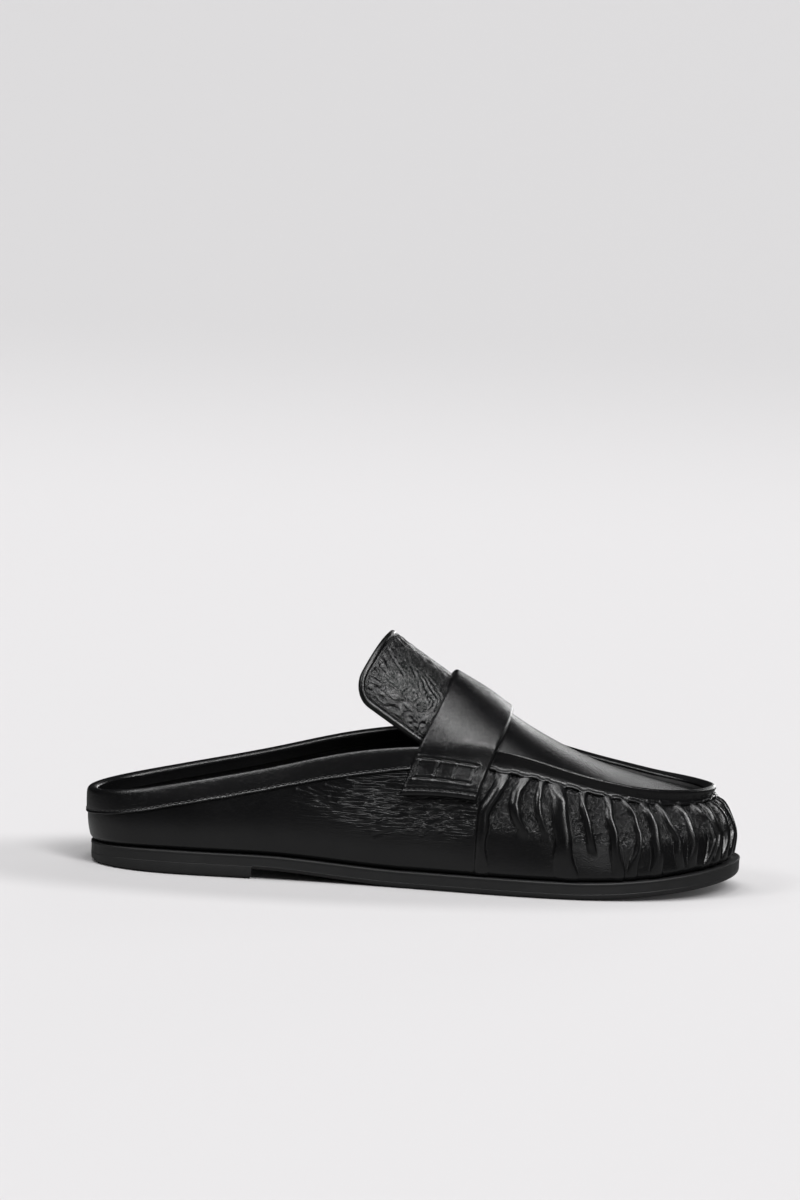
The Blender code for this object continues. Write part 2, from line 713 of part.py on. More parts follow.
def strap_line(station):
    """The strap's inner face along one line of its length, from the lateral end to the medial."""
    line = []
    for side in (-1, 1):
        column = Column(loop_place(side, station))
        rim = column.point(-column.top_in, column.top_z)
        down = []
        for drop in np.linspace(1.0, 0.0, 6)[:-1] * STRAP_DROP:
            place = wall_at(side, rim[0] - STRAP_SLANT * drop, rim[2] - drop)
            place[1] += side * STRAP_STANDOFF
            down.append(place)
        edge = rim + np.array([0.0, side * STRAP_STANDOFF, 0.0])
        ridge = ridge_of(station, 0.0) + np.array([0.0, 0.0, FIT_GAP * 1.5])
        turns = np.linspace(1.0, 0.0, 10)
        half = down + [arch_point(ridge, edge, turn, column.arch) for turn in turns]
        line += half if side < 0 else half[-2::-1]
    return line


def make_saddle_strap(look):
    grid = np.array([strap_line(s) for s in np.linspace(THROAT_STATION, STRAP_FRONT_STATION, 7)])
    outer = grid + sheet_normals(grid) * STRAP_THICK
    return add_node("saddle_strap", *slab(outer, grid), look)


def stand_on_origin():
    """Moves the shoe so that the middle of its underside is at the origin."""
    bpy.context.view_layer.update()
    graph = bpy.context.evaluated_depsgraph_get()
    shown = [o for o in bpy.data.objects if o.type == "MESH" and not o.hide_render]
    corners = np.array([c for o in shown for c in o.evaluated_get(graph).bound_box])
    low, high = corners.min(axis=0), corners.max(axis=0)
    SHOE.location = (-(low[0] + high[0]) / 2, -(low[1] + high[1]) / 2, -low[2])


for leftover in list(bpy.data.objects):
    bpy.data.objects.remove(leftover, do_unlink=True)

SHOE = bpy.data.objects.new("shoe", None)
bpy.context.scene.collection.objects.link(SHOE)

leather = material("upper_leather", LEATHER_BLACK, 0.38)
lining = material("insole_leather", LINING_BLACK, 0.60)
rubber = material("sole_rubber", RUBBER_BLACK, 0.45)

make_outsole(rubber)
make_heel_lift(rubber)
make_insole(lining)
make_upper(leather)
make_collar_band(leather)
make_apron_rib(leather)
make_tongue(leather)
make_saddle_strap(leather)
stand_on_origin()
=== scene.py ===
"""The looks of a loafer mule in black leather, right foot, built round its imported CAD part."""

import math

import bpy
import numpy as np
from mathutils import Matrix, Vector


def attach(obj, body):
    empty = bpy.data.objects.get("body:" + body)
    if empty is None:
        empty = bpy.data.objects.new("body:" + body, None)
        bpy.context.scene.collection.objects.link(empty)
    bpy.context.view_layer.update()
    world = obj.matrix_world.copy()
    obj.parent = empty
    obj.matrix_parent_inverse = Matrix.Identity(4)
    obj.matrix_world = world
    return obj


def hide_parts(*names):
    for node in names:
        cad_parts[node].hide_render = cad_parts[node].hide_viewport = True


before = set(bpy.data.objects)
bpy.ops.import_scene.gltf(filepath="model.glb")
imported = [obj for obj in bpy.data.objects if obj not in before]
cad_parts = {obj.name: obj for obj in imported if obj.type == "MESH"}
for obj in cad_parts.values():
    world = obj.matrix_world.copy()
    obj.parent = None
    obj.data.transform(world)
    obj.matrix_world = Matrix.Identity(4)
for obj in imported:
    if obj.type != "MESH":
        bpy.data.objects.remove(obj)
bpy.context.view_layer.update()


# The camera
# A long lens a little above the shoe on its outer side. The frame is rolled by a few degrees,
# and it aims above and beyond the middle of the shoe, which stands low in the upright frame.

LENS_MM, SENSOR_MM = 200.0, 36.0
FRAME_HEIGHT_PX = 1200
PX_PER_METRE = 2444.0
CAMERA_RISE = math.radians(8.5)
CAMERA_ROLL = math.radians(2.65)
LOOK_POINT = Vector((0.0, 0.00188, 0.040))
LOOK_PX_RIGHT, LOOK_PX_DOWN = 15.8, 176.7

focal_px = LENS_MM / SENSOR_MM * FRAME_HEIGHT_PX
towards = Vector((0.0, -math.cos(CAMERA_RISE), math.sin(CAMERA_RISE)))
level_up = Vector((0.0, math.sin(CAMERA_RISE), math.cos(CAMERA_RISE)))
level_right = Vector((1.0, 0.0, 0.0))
camera_right = level_right * math.cos(CAMERA_ROLL) + level_up * math.sin(CAMERA_ROLL)
camera_up = level_up * math.cos(CAMERA_ROLL) - level_right * math.sin(CAMERA_ROLL)
turned = Matrix((camera_right, camera_up, towards)).transposed()
turned = turned @ Matrix.Rotation(math.atan(LOOK_PX_DOWN / focal_px), 3, "X")
turned = turned @ Matrix.Rotation(math.atan(LOOK_PX_RIGHT / focal_px), 3, "Y")

bpy.ops.object.select_all(action="DESELECT")
bpy.ops.object.camera_add(location=LOOK_POINT + towards * focal_px / PX_PER_METRE)
camera = bpy.context.object
camera.name = "camera"
camera.rotation_euler = turned.to_euler()
camera.data.lens = LENS_MM
camera.data.sensor_width = SENSOR_MM
camera.data.clip_start, camera.data.clip_end = 0.1, 200.0
bpy.context.scene.camera = camera
bpy.context.scene.view_settings.view_transform = "Standard"


# Floor and light
# A pale seamless floor that runs out past every view. Lamps with soft fronts stand round it: a
# bank overhead, three before the shoe, two weak low ones that fill its side, and three low behind
# the toe that rim the leather.

FLOOR_SIZE, FLOOR_BELOW = 80.0, 0.0001
FLOOR_WHITE, FLOOR_BEHIND = (0.500, 0.492, 0.498), (0.430, 0.424, 0.429)
FLOOR_TURNS_DARKER = (1.2, 2.8)
# The ground round the shoe, measured on an oval that is longer than it is wide: how much less its
# length counts, how far the oval's middle stands from the shoe's, and where things change on it.
OVAL_SHARE, OVAL_SHIFT = (0.45, 1.0, 0.0), (0.017, 0.006, 0.0)
BOUNCE_FADES, BOUNCE_NEAR, BOUNCE_FAR = (0.05, 0.16), 0.27, 0.07
# where the floor's painted glow rises out of the painted shadow round the shoe, and how strong that
# painted glow is
GLOW_RISES_PAST_PAINTED_SHADOW, FLOOR_PAINTED_GLOW = (0.058, 0.092), 0.33


def new_material(name):
    """A material with nodes: itself, its tree, its shader and the socket of Object coordinates."""
    made = bpy.data.materials.new(name)
    made.use_nodes = True
    tree = made.node_tree
    place = tree.nodes.new("ShaderNodeTexCoord")
    return made, tree, tree.nodes["Principled BSDF"], place.outputs["Object"]


def feed(tree, socket, value):
    """Sets a socket to a number, or links another socket to it."""
    if isinstance(value, (int, float)):
        socket.default_value = value
    else:
        tree.links.new(value, socket)


def add_math(tree, operation, *values):
    """A Math node fed by sockets or numbers; its Value output."""
    node = tree.nodes.new("ShaderNodeMath")
    node.operation = operation
    for socket, value in zip(node.inputs, values):
        feed(tree, socket, value)
    return node.outputs["Value"]


def add_range(tree, value, low, high, to_low=0.0, to_high=1.0):
    """A smooth Map Range node; its Result output."""
    node = tree.nodes.new("ShaderNodeMapRange")
    node.interpolation_type = "SMOOTHSTEP"
    tree.links.new(value, node.inputs["Value"])
    titles = ("From Min", "From Max", "To Min", "To Max")
    for title, number in zip(titles, (low, high, to_low, to_high)):
        feed(tree, node.inputs[title], number)
    return node.outputs["Result"]


def add_colours(tree, share, first, second):
    """A mix of two colours, each a socket or three numbers; its colour output."""
    node = tree.nodes.new("ShaderNodeMix")
    node.data_type = "RGBA"
    tree.links.new(share, node.inputs["Factor"])
    for socket, colour in ((node.inputs[6], first), (node.inputs[7], second)):
        if isinstance(colour, tuple):
            socket.default_value = (*colour, 1.0)
        else:
            tree.links.new(colour, socket)
    return node.outputs[2]


bpy.ops.mesh.primitive_plane_add(size=FLOOR_SIZE, location=(0.0, 0.0, -FLOOR_BELOW))
floor = bpy.context.object
floor.name = "floor"

floor_paint, tree, shader, place = new_material("floor_paint")
shader.inputs["Roughness"].default_value = 0.9
shader.inputs["Specular IOR Level"].default_value = 0.1
where = tree.nodes.new("ShaderNodeSeparateXYZ")
tree.links.new(place, where.inputs["Vector"])
behind = add_range(tree, where.outputs["Y"], *FLOOR_TURNS_DARKER)
tint = add_colours(tree, behind, FLOOR_WHITE, FLOOR_BEHIND)
oval = tree.nodes.new("ShaderNodeVectorMath")
oval.operation = "MULTIPLY_ADD"
oval.inputs[1].default_value = OVAL_SHARE
oval.inputs[2].default_value = OVAL_SHIFT
tree.links.new(place, oval.inputs[0])
away = tree.nodes.new("ShaderNodeVectorMath")
away.operation = "LENGTH"
tree.links.new(oval.outputs["Vector"], away.inputs[0])
seen_straight = tree.nodes.new("ShaderNodeLightPath").outputs["Is Camera Ray"]
# the floor throws back less light than it shows, as a floor with black flags round it does, and
# least from far away
bounce = add_range(tree, away.outputs["Value"], *BOUNCE_FADES, BOUNCE_NEAR, BOUNCE_FAR)
tree.links.new(add_colours(tree, seen_straight, bounce, tint), shader.inputs["Base Color"])
# and away from the shoe it glows to the camera: painted light, which keeps the shadows on it as
# pale as on a lit sweep, and which fades out round the shoe so that a painted shadow is left there
own = add_range(tree, away.outputs["Value"], *GLOW_RISES_PAST_PAINTED_SHADOW, 0.0, FLOOR_PAINTED_GLOW)
own = add_math(tree, "MULTIPLY", seen_straight, own)
tree.links.new(tint, shader.inputs["Emission Color"])
tree.links.new(own, shader.inputs["Emission Strength"])
floor.data.materials.append(floor_paint)

SKY_SEEN = (0.80, 0.785, 0.795, 1.0)
ROOM_GLOW = 0.02
# Each lamp: its height over the floor and its turn from the camera's side towards the toe, both
# in degrees, its half-width in degrees, and how bright it is.
LAMPS = (
    (70.0, 358.0, 12.0, 17.0), (73.0, 276.0, 12.0, 14.0), (80.0, 106.0, 12.0, 5.0),
    (54.0, 32.0, 13.0, 15.0), (39.0, 36.0, 12.0, 25.0), (42.0, 300.0, 13.0, 13.0),
    (16.0, 15.0, 12.0, 2.3), (2.0, 20.0, 12.0, 1.2), (21.0, 140.0, 12.0, 4.0),
    (3.0, 160.0, 12.0, 10.0), (12.0, 168.0, 11.0, 1.6),
)

world = bpy.data.worlds.new("studio")
bpy.context.scene.world = world
world.use_nodes = True
tree = world.node_tree
tree.nodes.clear()
facing = tree.nodes.new("ShaderNodeTexCoord").outputs["Generated"]


def lamp_front(rise, turn, half_width, strength):
    """One soft lamp in the studio's dark: brightest in its middle, gone at its edge."""
    rise, turn = math.radians(rise), math.radians(turn)
    aim = tree.nodes.new("ShaderNodeVectorMath")
    aim.operation = "DOT_PRODUCT"
    aim.inputs[1].default_value = (
        math.cos(rise) * math.sin(turn), -math.cos(rise) * math.cos(turn), math.sin(rise),
    )
    tree.links.new(facing, aim.inputs[0])
    edge = math.cos(math.radians(half_width))
    return add_range(tree, aim.outputs["Value"], edge, 1.0, 0.0, strength)


glow = ROOM_GLOW
for lamp in LAMPS:
    glow = add_math(tree, "ADD", lamp_front(*lamp), glow)
lit = tree.nodes.new("ShaderNodeBackground")
tree.links.new(glow, lit.inputs["Strength"])
seen = tree.nodes.new("ShaderNodeBackground")
seen.inputs["Color"].default_value = SKY_SEEN
choose = tree.nodes.new("ShaderNodeMixShader")
rays = tree.nodes.new("ShaderNodeLightPath")
tree.links.new(rays.outputs["Is Camera Ray"], choose.inputs["Fac"])
tree.links.new(lit.outputs["Background"], choose.inputs[1])
tree.links.new(seen.outputs["Background"], choose.inputs[2])
out = tree.nodes.new("ShaderNodeOutputWorld")
tree.links.new(choose.outputs["Shader"], out.inputs["Surface"])


# Outsole and heel
# One moulded rubber unit: a flat forepart that springs up at the toe, and a low heel. It has a
# rounded lower edge, a fine lip along its top edge and a faint parting line all round, and it is
# cemented to the lasted upper.

MM = 0.001
SOLE_LENGTH, BALL_WIDTH = 264.5, 93.0
TOPLINE_HEIGHT, INSTEP_HEIGHT = 58.0, 76.0
STAND = np.array([-130.96, 1.88, 0.0])
FIT_GAP = 0.3
FOREPART_THICK, SEAT_THICK = 6.9, 6.0
HEEL_LIFT, HEEL_LENGTH = 3.7, 66.0
SEAT_DIP, SEAT_DIP_LENGTH = 1.4, 34.0
TOE_SPRING, TREAD_START, SPRING_START = 6.2, 0.49, 0.74
PARTING_BELOW_TOP, PARTING_OVER_GROUND = 4.5, 1.9
HEEL_FRONT_RUN = 0.25
SHEET_COLUMNS = 170

# One row for each section of the last, heel to toe: x; the edge's distance from the centre line
# on the outer and on the inner side; how far the wall's foot, seam and top stand in from that
# edge, and the heights of seam and top; the wall's lean at the sole and at the seam; the ridge
# over the foot; the arch's edge below the wall's top; and half the arch's angle. They are shares
# of the sole's length, the ball's width, the topline's height and the instep's height.
LAST = (
    (0.000, 0.000, 0.000, -0.005, -0.027, 0.350, -0.026, 0.520, 0.40, 0.00, 0.300, 1.500, 0.040, 66),
    (0.012, 0.133, 0.133, -0.004, -0.026, 0.360, -0.020, 0.532, 0.40, 0.02, 0.310, 1.490, 0.040, 66),
    (0.045, 0.236, 0.236, -0.002, -0.022, 0.394, -0.007, 0.562, 0.42, 0.10, 0.330, 1.460, 0.040, 66),
    (0.105, 0.312, 0.307, 0.003, -0.015, 0.462, 0.014, 0.618, 0.45, 0.20, 0.370, 1.410, 0.040, 66),
    (0.190, 0.341, 0.330, 0.006, -0.009, 0.548, 0.028, 0.702, 0.45, 0.26, 0.410, 1.340, 0.040, 66),
    (0.284, 0.357, 0.330, 0.007, -0.003, 0.652, 0.032, 0.804, 0.42, 0.26, 0.450, 1.270, 0.040, 66),
    (0.378, 0.378, 0.334, 0.008, 0.006, 0.748, 0.036, 0.914, 0.36, 0.28, 0.490, 1.195, 0.040, 66),
    (0.472, 0.414, 0.358, 0.009, 0.020, 0.828, 0.044, 0.985, 0.30, 0.30, 0.530, 1.122, 0.040, 66),
    (0.560, 0.460, 0.402, 0.010, 0.048, 0.868, 0.065, 1.008, 0.26, 0.42, 0.597, 0.993, 0.040, 66),
    (0.643, 0.502, 0.446, 0.011, 0.093, 0.856, 0.105, 0.970, 0.22, 0.66, 0.664, 0.840, 0.041, 64),
    (0.726, 0.522, 0.476, 0.013, 0.125, 0.778, 0.136, 0.872, 0.20, 0.95, 0.737, 0.706, 0.044, 58),
    (0.805, 0.504, 0.482, 0.015, 0.138, 0.707, 0.149, 0.796, 0.16, 1.20, 0.797, 0.617, 0.048, 48),
    (0.877, 0.441, 0.448, 0.018, 0.143, 0.662, 0.155, 0.748, 0.12, 1.45, 0.835, 0.575, 0.051, 40),
    (0.934, 0.340, 0.366, 0.022, 0.140, 0.645, 0.152, 0.728, 0.10, 1.65, 0.862, 0.550, 0.053, 36),
    (0.975, 0.206, 0.245, 0.023, 0.133, 0.642, 0.145, 0.718, 0.08, 1.80, 0.878, 0.538, 0.054, 34),
    (1.000, -0.032, 0.032, 0.023, 0.127, 0.645, 0.139, 0.716, 0.08, 1.85, 0.886, 0.533, 0.054, 34),
)
TOE_STATION = len(LAST) - 1

units = np.array([
    SOLE_LENGTH, BALL_WIDTH, BALL_WIDTH, BALL_WIDTH, BALL_WIDTH, TOPLINE_HEIGHT, BALL_WIDTH,
    TOPLINE_HEIGHT, 1.0, 1.0, SOLE_LENGTH, INSTEP_HEIGHT, TOPLINE_HEIGHT, math.radians(1.0),
])
sizes = np.array(LAST) * units
outer_rows = np.column_stack([sizes[:, 0], -sizes[:, 1], sizes[:, 3:]])
inner_rows = np.column_stack([sizes[:, 0], sizes[:, 2], sizes[:, 3:]])
loop_rows = np.vstack([outer_rows, inner_rows[TOE_STATION - 1:0:-1]])
loop_steps = np.linalg.norm(np.roll(loop_rows, -1, axis=0)[:, :2] - loop_rows[:, :2], axis=1)
loop_knots = np.concatenate([[0.0], np.cumsum(loop_steps)[:-1]])
LOOP_LENGTH = float(loop_steps.sum())

count = len(loop_knots)
system, target = np.zeros((count, count)), np.zeros_like(loop_rows)
for i in range(count):
    before, after, ahead = loop_steps[i - 1], loop_steps[i], (i + 1) % count
    system[i, i - 1] += before
    system[i, i] += 2 * (before + after)
    system[i, ahead] += after
    target[i] = 6 * (
        (loop_rows[ahead] - loop_rows[i]) / after - (loop_rows[i] - loop_rows[i - 1]) / before
    )
loop_bends = np.linalg.solve(system, target)


def loop_values(place):
    """The last's values at distances round the sole's edge."""
    place = np.mod(place, LOOP_LENGTH)
    i = np.searchsorted(loop_knots, place, side="right") - 1
    ahead = (i + 1) % count
    step = loop_steps[i][..., None]
    b = (place - loop_knots[i])[..., None] / step
    a = 1 - b
    curve = (a**3 - a) * loop_bends[i] + (b**3 - b) * loop_bends[ahead]
    return a * loop_rows[i] + b * loop_rows[ahead] + curve * step**2 / 6


def loop_place(side, station):
    """The distance round the loop of stations on a side: outer is -1 and inner is 1."""
    if side < 0:
        return np.interp(station, np.arange(TOE_STATION + 1), loop_knots[: TOE_STATION + 1])
    knots = np.append(loop_knots[TOE_STATION:], LOOP_LENGTH)
    return np.interp(TOE_STATION - np.asarray(station, float), np.arange(TOE_STATION + 1), knots)


def smooth(t):
    """A soft step from 0 to 1."""
    t = np.clip(t, 0.0, 1.0)
    return t * t * (3 - 2 * t)


def sole_bottom(x):
    """Height of the sole's underside ahead of the heel, and of the heel's top behind its front."""
    x = np.asarray(x, float)
    tread, spring = TREAD_START * SOLE_LENGTH, SPRING_START * SOLE_LENGTH
    shank = HEEL_LIFT * (1 - smooth((x - HEEL_LENGTH) / (tread - HEEL_LENGTH)))
    toe = TOE_SPRING * np.maximum((x - spring) / (SOLE_LENGTH - spring), 0.0) ** 1.7
    return np.where(x < HEEL_LENGTH, HEEL_LIFT, np.where(x < spring, shank, toe))


def sole_top(x):
    """Height of the sole's upper face, which dips under the heel of the foot."""
    x = np.asarray(x, float)
    forward = (x - HEEL_LENGTH) / (TREAD_START * SOLE_LENGTH - HEEL_LENGTH)
    thick = SEAT_THICK + (FOREPART_THICK - SEAT_THICK) * smooth(forward)
    dip = SEAT_DIP * np.maximum(1 - np.maximum(x, 0.0) / SEAT_DIP_LENGTH, 0.0) ** 2
    return sole_bottom(x) + thick - dip


class Sections:
    """The last's sections at places round the sole's edge, with the wall that stands on them."""

    def __init__(self, place):
        self.place = np.asarray(place, float)
        values = loop_values(self.place)
        along = (loop_values(self.place + 0.2) - loop_values(self.place - 0.2))[..., :2]
        along = along / np.linalg.norm(along, axis=-1, keepdims=True)
        self.along = along
        self.base = values[..., :2]
        self.outward = np.stack([along[..., 1], -along[..., 0]], axis=-1)
        (self.foot_in, self.seam_in, self.seam_z, self.top_in, self.top_z, self.lean_low,
         self.lean_high, self.crown_x, self.crown_z, self.drop,
         self.arch) = np.moveaxis(values[..., 2:], -1, 0)
        self.base_z = sole_top(self.base[..., 0]) + FIT_GAP

    def point(self, out, height, ahead=0.0):
        """Points by their distance out from the sole's edge, height and slip round the edge."""
        out, height = np.broadcast_arrays(out, height)
        flat = self.base + self.outward * out[..., None] + self.along * np.asarray(ahead)[..., None]
        return np.concatenate([flat, height[..., None]], axis=-1)

    def wall(self, share):
        """Distance out, height and normal of the wall's face, from the sole (0) to the seam (1)."""
        start = np.stack([-self.foot_in, self.base_z], axis=-1)
        end = np.stack([-self.seam_in, self.seam_z], axis=-1)
        chord = np.linalg.norm(end - start, axis=-1, keepdims=True)
        leave = np.stack([self.lean_low, np.ones_like(self.lean_low)], axis=-1)
        arrive = np.stack([-self.lean_high, np.ones_like(self.lean_high)], axis=-1)
        leave *= chord / np.linalg.norm(leave, axis=-1, keepdims=True)
        arrive *= chord / np.linalg.norm(arrive, axis=-1, keepdims=True)
        t = np.broadcast_to(share, self.place.shape)[..., None]
        where = (
            (2 * t**3 - 3 * t**2 + 1) * start + (t**3 - 2 * t**2 + t) * leave
            + (3 * t**2 - 2 * t**3) * end + (t**3 - t**2) * arrive
        )
        run = (
            (6 * t**2 - 6 * t) * start + (3 * t**2 - 4 * t + 1) * leave
            + (6 * t - 6 * t**2) * end + (3 * t**2 - 2 * t) * arrive
        )
        normal = np.stack([run[..., 1], -run[..., 0]], axis=-1)
        return where, normal / np.linalg.norm(normal, axis=-1, keepdims=True)

    def rim(self, rise, out):
        """Distance out and height at a rise above the seam and a distance out from that line."""
        seam = np.stack([-self.seam_in, self.seam_z], axis=-1)
        top = np.stack([-self.top_in, self.top_z], axis=-1)
        run = (top - seam) / np.linalg.norm(top - seam, axis=-1, keepdims=True)
        rise = np.broadcast_to(rise, self.place.shape)[..., None]
        out = np.broadcast_to(out, self.place.shape)[..., None]
        side = np.stack([run[..., 1], -run[..., 0]], axis=-1)
        return seam + run * rise + side * out

    def rim_length(self):
        return np.hypot(self.top_in - self.seam_in, self.top_z - self.seam_z)


def laid_sheet(name, points, closed=True, marks=None):
    """A grid primitive laid over rows of points in millimetres, its meeting edges sewn together."""
    rows, columns = points.shape[:2]
    bpy.ops.object.select_all(action="DESELECT")
    bpy.ops.mesh.primitive_grid_add(x_subdivisions=columns - 1, y_subdivisions=rows - 1, size=2.0)
    piece = bpy.context.object
    piece.name = piece.data.name = name
    flat = np.empty(len(piece.data.vertices) * 3, np.float32)
    piece.data.vertices.foreach_get("co", flat)
    corners = flat.reshape(-1, 3)
    column = np.rint((corners[:, 0] / 2 + 0.5) * (columns - 1)).astype(int)
    row = np.rint((corners[:, 1] / 2 + 0.5) * (rows - 1)).astype(int)
    placed = (points[row, column] + STAND) * MM
    piece.data.vertices.foreach_set("co", placed.astype(np.float32).ravel())
    for title, values in (marks or {}).items():
        mark = piece.data.attributes.new(title, "FLOAT", "POINT")
        mark.data.foreach_set("value", values[row, column].astype(np.float32))
    piece.data.update()
    bpy.ops.object.mode_set(mode="EDIT")
    bpy.ops.mesh.select_all(action="SELECT")
    bpy.ops.mesh.remove_doubles(threshold=2e-6)
    bpy.ops.mesh.dissolve_degenerate(threshold=1e-7)
    bpy.ops.mesh.select_all(action="SELECT")
    if closed:
        bpy.ops.mesh.normals_make_consistent(inside=False)
    bpy.ops.object.mode_set(mode="OBJECT")
    bpy.ops.object.shade_smooth()
    return piece


def plate(stations, levels, cap_heights):
    """Rows of points of a plate: up its edge by levels, and in over its two faces.

    levels: inset from the sole's edge and height at each x, from the lower face to the upper.
    cap_heights: the lower and the upper face's height at each x.
    """
    places = np.concatenate([loop_place(-1, stations), loop_place(1, stations[::-1])[1:]])
    sections = Sections(places)
    rings = []
    for inset, height in levels:
        flat = sections.base - sections.outward * np.asarray(inset)[..., None]
        rings.append(np.column_stack([flat, height(flat[:, 0])]))

    def cap(ring, height, shares):
        spine = (ring + ring[::-1]) / 2
        rows = []
        for share in shares:
            row = ring + (spine - ring) * share
            row[:, 2] = height(row[:, 0]) + (ring[:, 2] - height(ring[:, 0])) * (1 - share)
            rows.append(row)
        return rows

    low = cap(rings[0], cap_heights[0], (1.0, 0.8, 0.6, 0.4, 0.2))
    high = cap(rings[-1], cap_heights[1], (0.1, 0.2, 0.3, 0.45, 0.6, 0.8, 1.0))
    return np.array(low + rings + high)


def stations_near(*exact):
    """Even stations from heel to toe, with some exact ones among them."""
    even = np.linspace(0.0, TOE_STATION, SHEET_COLUMNS)
    return np.unique(np.concatenate([even, *exact]))


def station_at(x):
    """The station of the last at a distance from the heel."""
    stations = np.linspace(0.0, TOE_STATION, 1500)
    return np.interp(x, loop_values(loop_place(-1, stations))[:, 0], stations)


def ground(x):
    """The height of the sole unit's underside, with the heel's front face as a short steep run."""
    x = np.asarray(x, float)
    front = np.clip((x - HEEL_LENGTH) / HEEL_FRONT_RUN, 0.0, 1.0)
    return np.where(x < HEEL_LENGTH, 0.0, sole_bottom(np.maximum(x, HEEL_LENGTH)) * front)


def parting(x):
    """The parting line: it follows the top edge at the heel and keeps inside the side face."""
    return np.maximum(sole_top(x) - PARTING_BELOW_TOP, ground(x) + PARTING_OVER_GROUND)


def low_face(x):
    """Where the side's flat face begins, over the rounded lower edge."""
    return ground(x) + (parting(x) - ground(x)) * 0.8


# inset from the sole's edge, the line that the height follows, and how far over it
SOLE_PROFILE = (
    (3.0, ground, 0.0), (1.7, ground, 0.0), (1.05, ground, 0.12), (0.45, ground, 0.42),
    (0.02, ground, 0.85), (-0.30, ground, 1.35), (-0.46, low_face, 0.0),
    (-0.47, parting, -0.22), (-0.45, parting, -0.10), (-0.38, parting, 0.0),
    (-0.45, parting, 0.10), (-0.47, parting, 0.22), (-0.46, sole_top, -1.45),
    (-0.50, sole_top, -1.15), (-0.66, sole_top, -0.85), (-0.70, sole_top, -0.55),
    (-0.64, sole_top, -0.25), (-0.42, sole_top, -0.05), (-0.10, sole_top, 0.0),
    (0.9, sole_top, 0.0), (3.0, sole_top, 0.0),
)
breast = station_at(HEEL_LENGTH + np.array([-0.4, 0.0, 0.12, HEEL_FRONT_RUN, 0.7]))
sole_levels = [
    (inset, lambda x, line=line, over=over: line(x) + over) for inset, line, over in SOLE_PROFILE
]
sole_unit = laid_sheet(
    "sole_unit", plate(stations_near(breast), sole_levels, (ground, sole_top))
)
bpy.ops.object.shade_smooth_by_angle(angle=math.radians(50.0))


def add_noise(tree, vector, scale, detail=2.0, roughness=0.5, distortion=0.0):
    """A noise texture; its Fac output."""
    node = tree.nodes.new("ShaderNodeTexNoise")
    tree.links.new(vector, node.inputs["Vector"])
    node.inputs["Scale"].default_value = scale
    node.inputs["Detail"].default_value = detail
    node.inputs["Roughness"].default_value = roughness
    node.inputs["Distortion"].default_value = distortion
    return node.outputs["Fac"]


def add_cells(tree, vector, scale, feature="F1"):
    """A cell texture; its Distance output."""
    node = tree.nodes.new("ShaderNodeTexVoronoi")
    node.feature = feature
    tree.links.new(vector, node.inputs["Vector"])
    feed(tree, node.inputs["Scale"], scale)
    return node.outputs["Distance"]


def add_bump(tree, height, distance, normal=None):
    """A Bump node of a height from 0 to 1 over a distance in millimetres; its Normal output."""
    node = tree.nodes.new("ShaderNodeBump")
    node.inputs["Distance"].default_value = distance * MM
    tree.links.new(height, node.inputs["Height"])
    if normal is not None:
        tree.links.new(normal, node.inputs["Normal"])
    return node.outputs["Normal"]


RUBBER_DARK, RUBBER_WORN = (0.0070, 0.0070, 0.0074), (0.012, 0.012, 0.0125)
SPECK_DEEP, TREAD_DEEP = 0.02, 0.5

rubber, tree, shader, place = new_material("moulded_rubber")
mottle = add_noise(tree, place, 160.0, 3.0)
speck = add_noise(tree, place, 1500.0, 2.0)
tree.links.new(add_colours(tree, mottle, RUBBER_DARK, RUBBER_WORN), shader.inputs["Base Color"])
tree.links.new(add_range(tree, mottle, 0.3, 0.7, 0.50, 0.60), shader.inputs["Roughness"])
tread = add_cells(tree, place, 260.0)
under = tree.nodes.new("ShaderNodeNewGeometry")
split = tree.nodes.new("ShaderNodeSeparateXYZ")
tree.links.new(under.outputs["Normal"], split.inputs["Vector"])
facing_down = add_range(tree, split.outputs["Z"], -0.9, -0.97)
pattern = add_math(tree, "MULTIPLY", tread, facing_down)
normal = add_bump(tree, speck, SPECK_DEEP)
tree.links.new(add_bump(tree, pattern, TREAD_DEEP, normal), shader.inputs["Normal"])
shader.inputs["Specular IOR Level"].default_value = 0.45
sole_unit.data.materials.append(rubber)
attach(sole_unit, "root")
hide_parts("outsole", "heel_lift")


# Insole
# A padded sock of soft leather over thin foam, cut to the foot and glued down on the sole, with
# one row of stitches inside its edge.

WALL_THICK, INSOLE_CLEARANCE, INSOLE_THICK = 2.0, 0.9, 2.6
SOCK_STITCH_IN, SOCK_STITCH_SUNK = 5.0, 0.42
SOCK_STITCH_LONG, SOCK_STITCH_THICK = 3.4, 0.55
SOCK_BLACK, SOCK_RUBBED = (0.007, 0.007, 0.0073), (0.014, 0.0135, 0.0135)

clear = WALL_THICK + INSOLE_CLEARANCE


def sock_under(x):
    """Height of the insole's lower face."""
    return sole_top(x) + FIT_GAP


def sock_over(x):
    """Height of the insole's upper face."""
    return sock_under(x) + INSOLE_THICK


sock_stations = stations_near()
sock_sections = Sections(np.concatenate(
    [loop_place(-1, sock_stations), loop_place(1, sock_stations[::-1])[1:]]
))
sock_edge = clear + np.maximum(sock_sections.foot_in, 0.0)
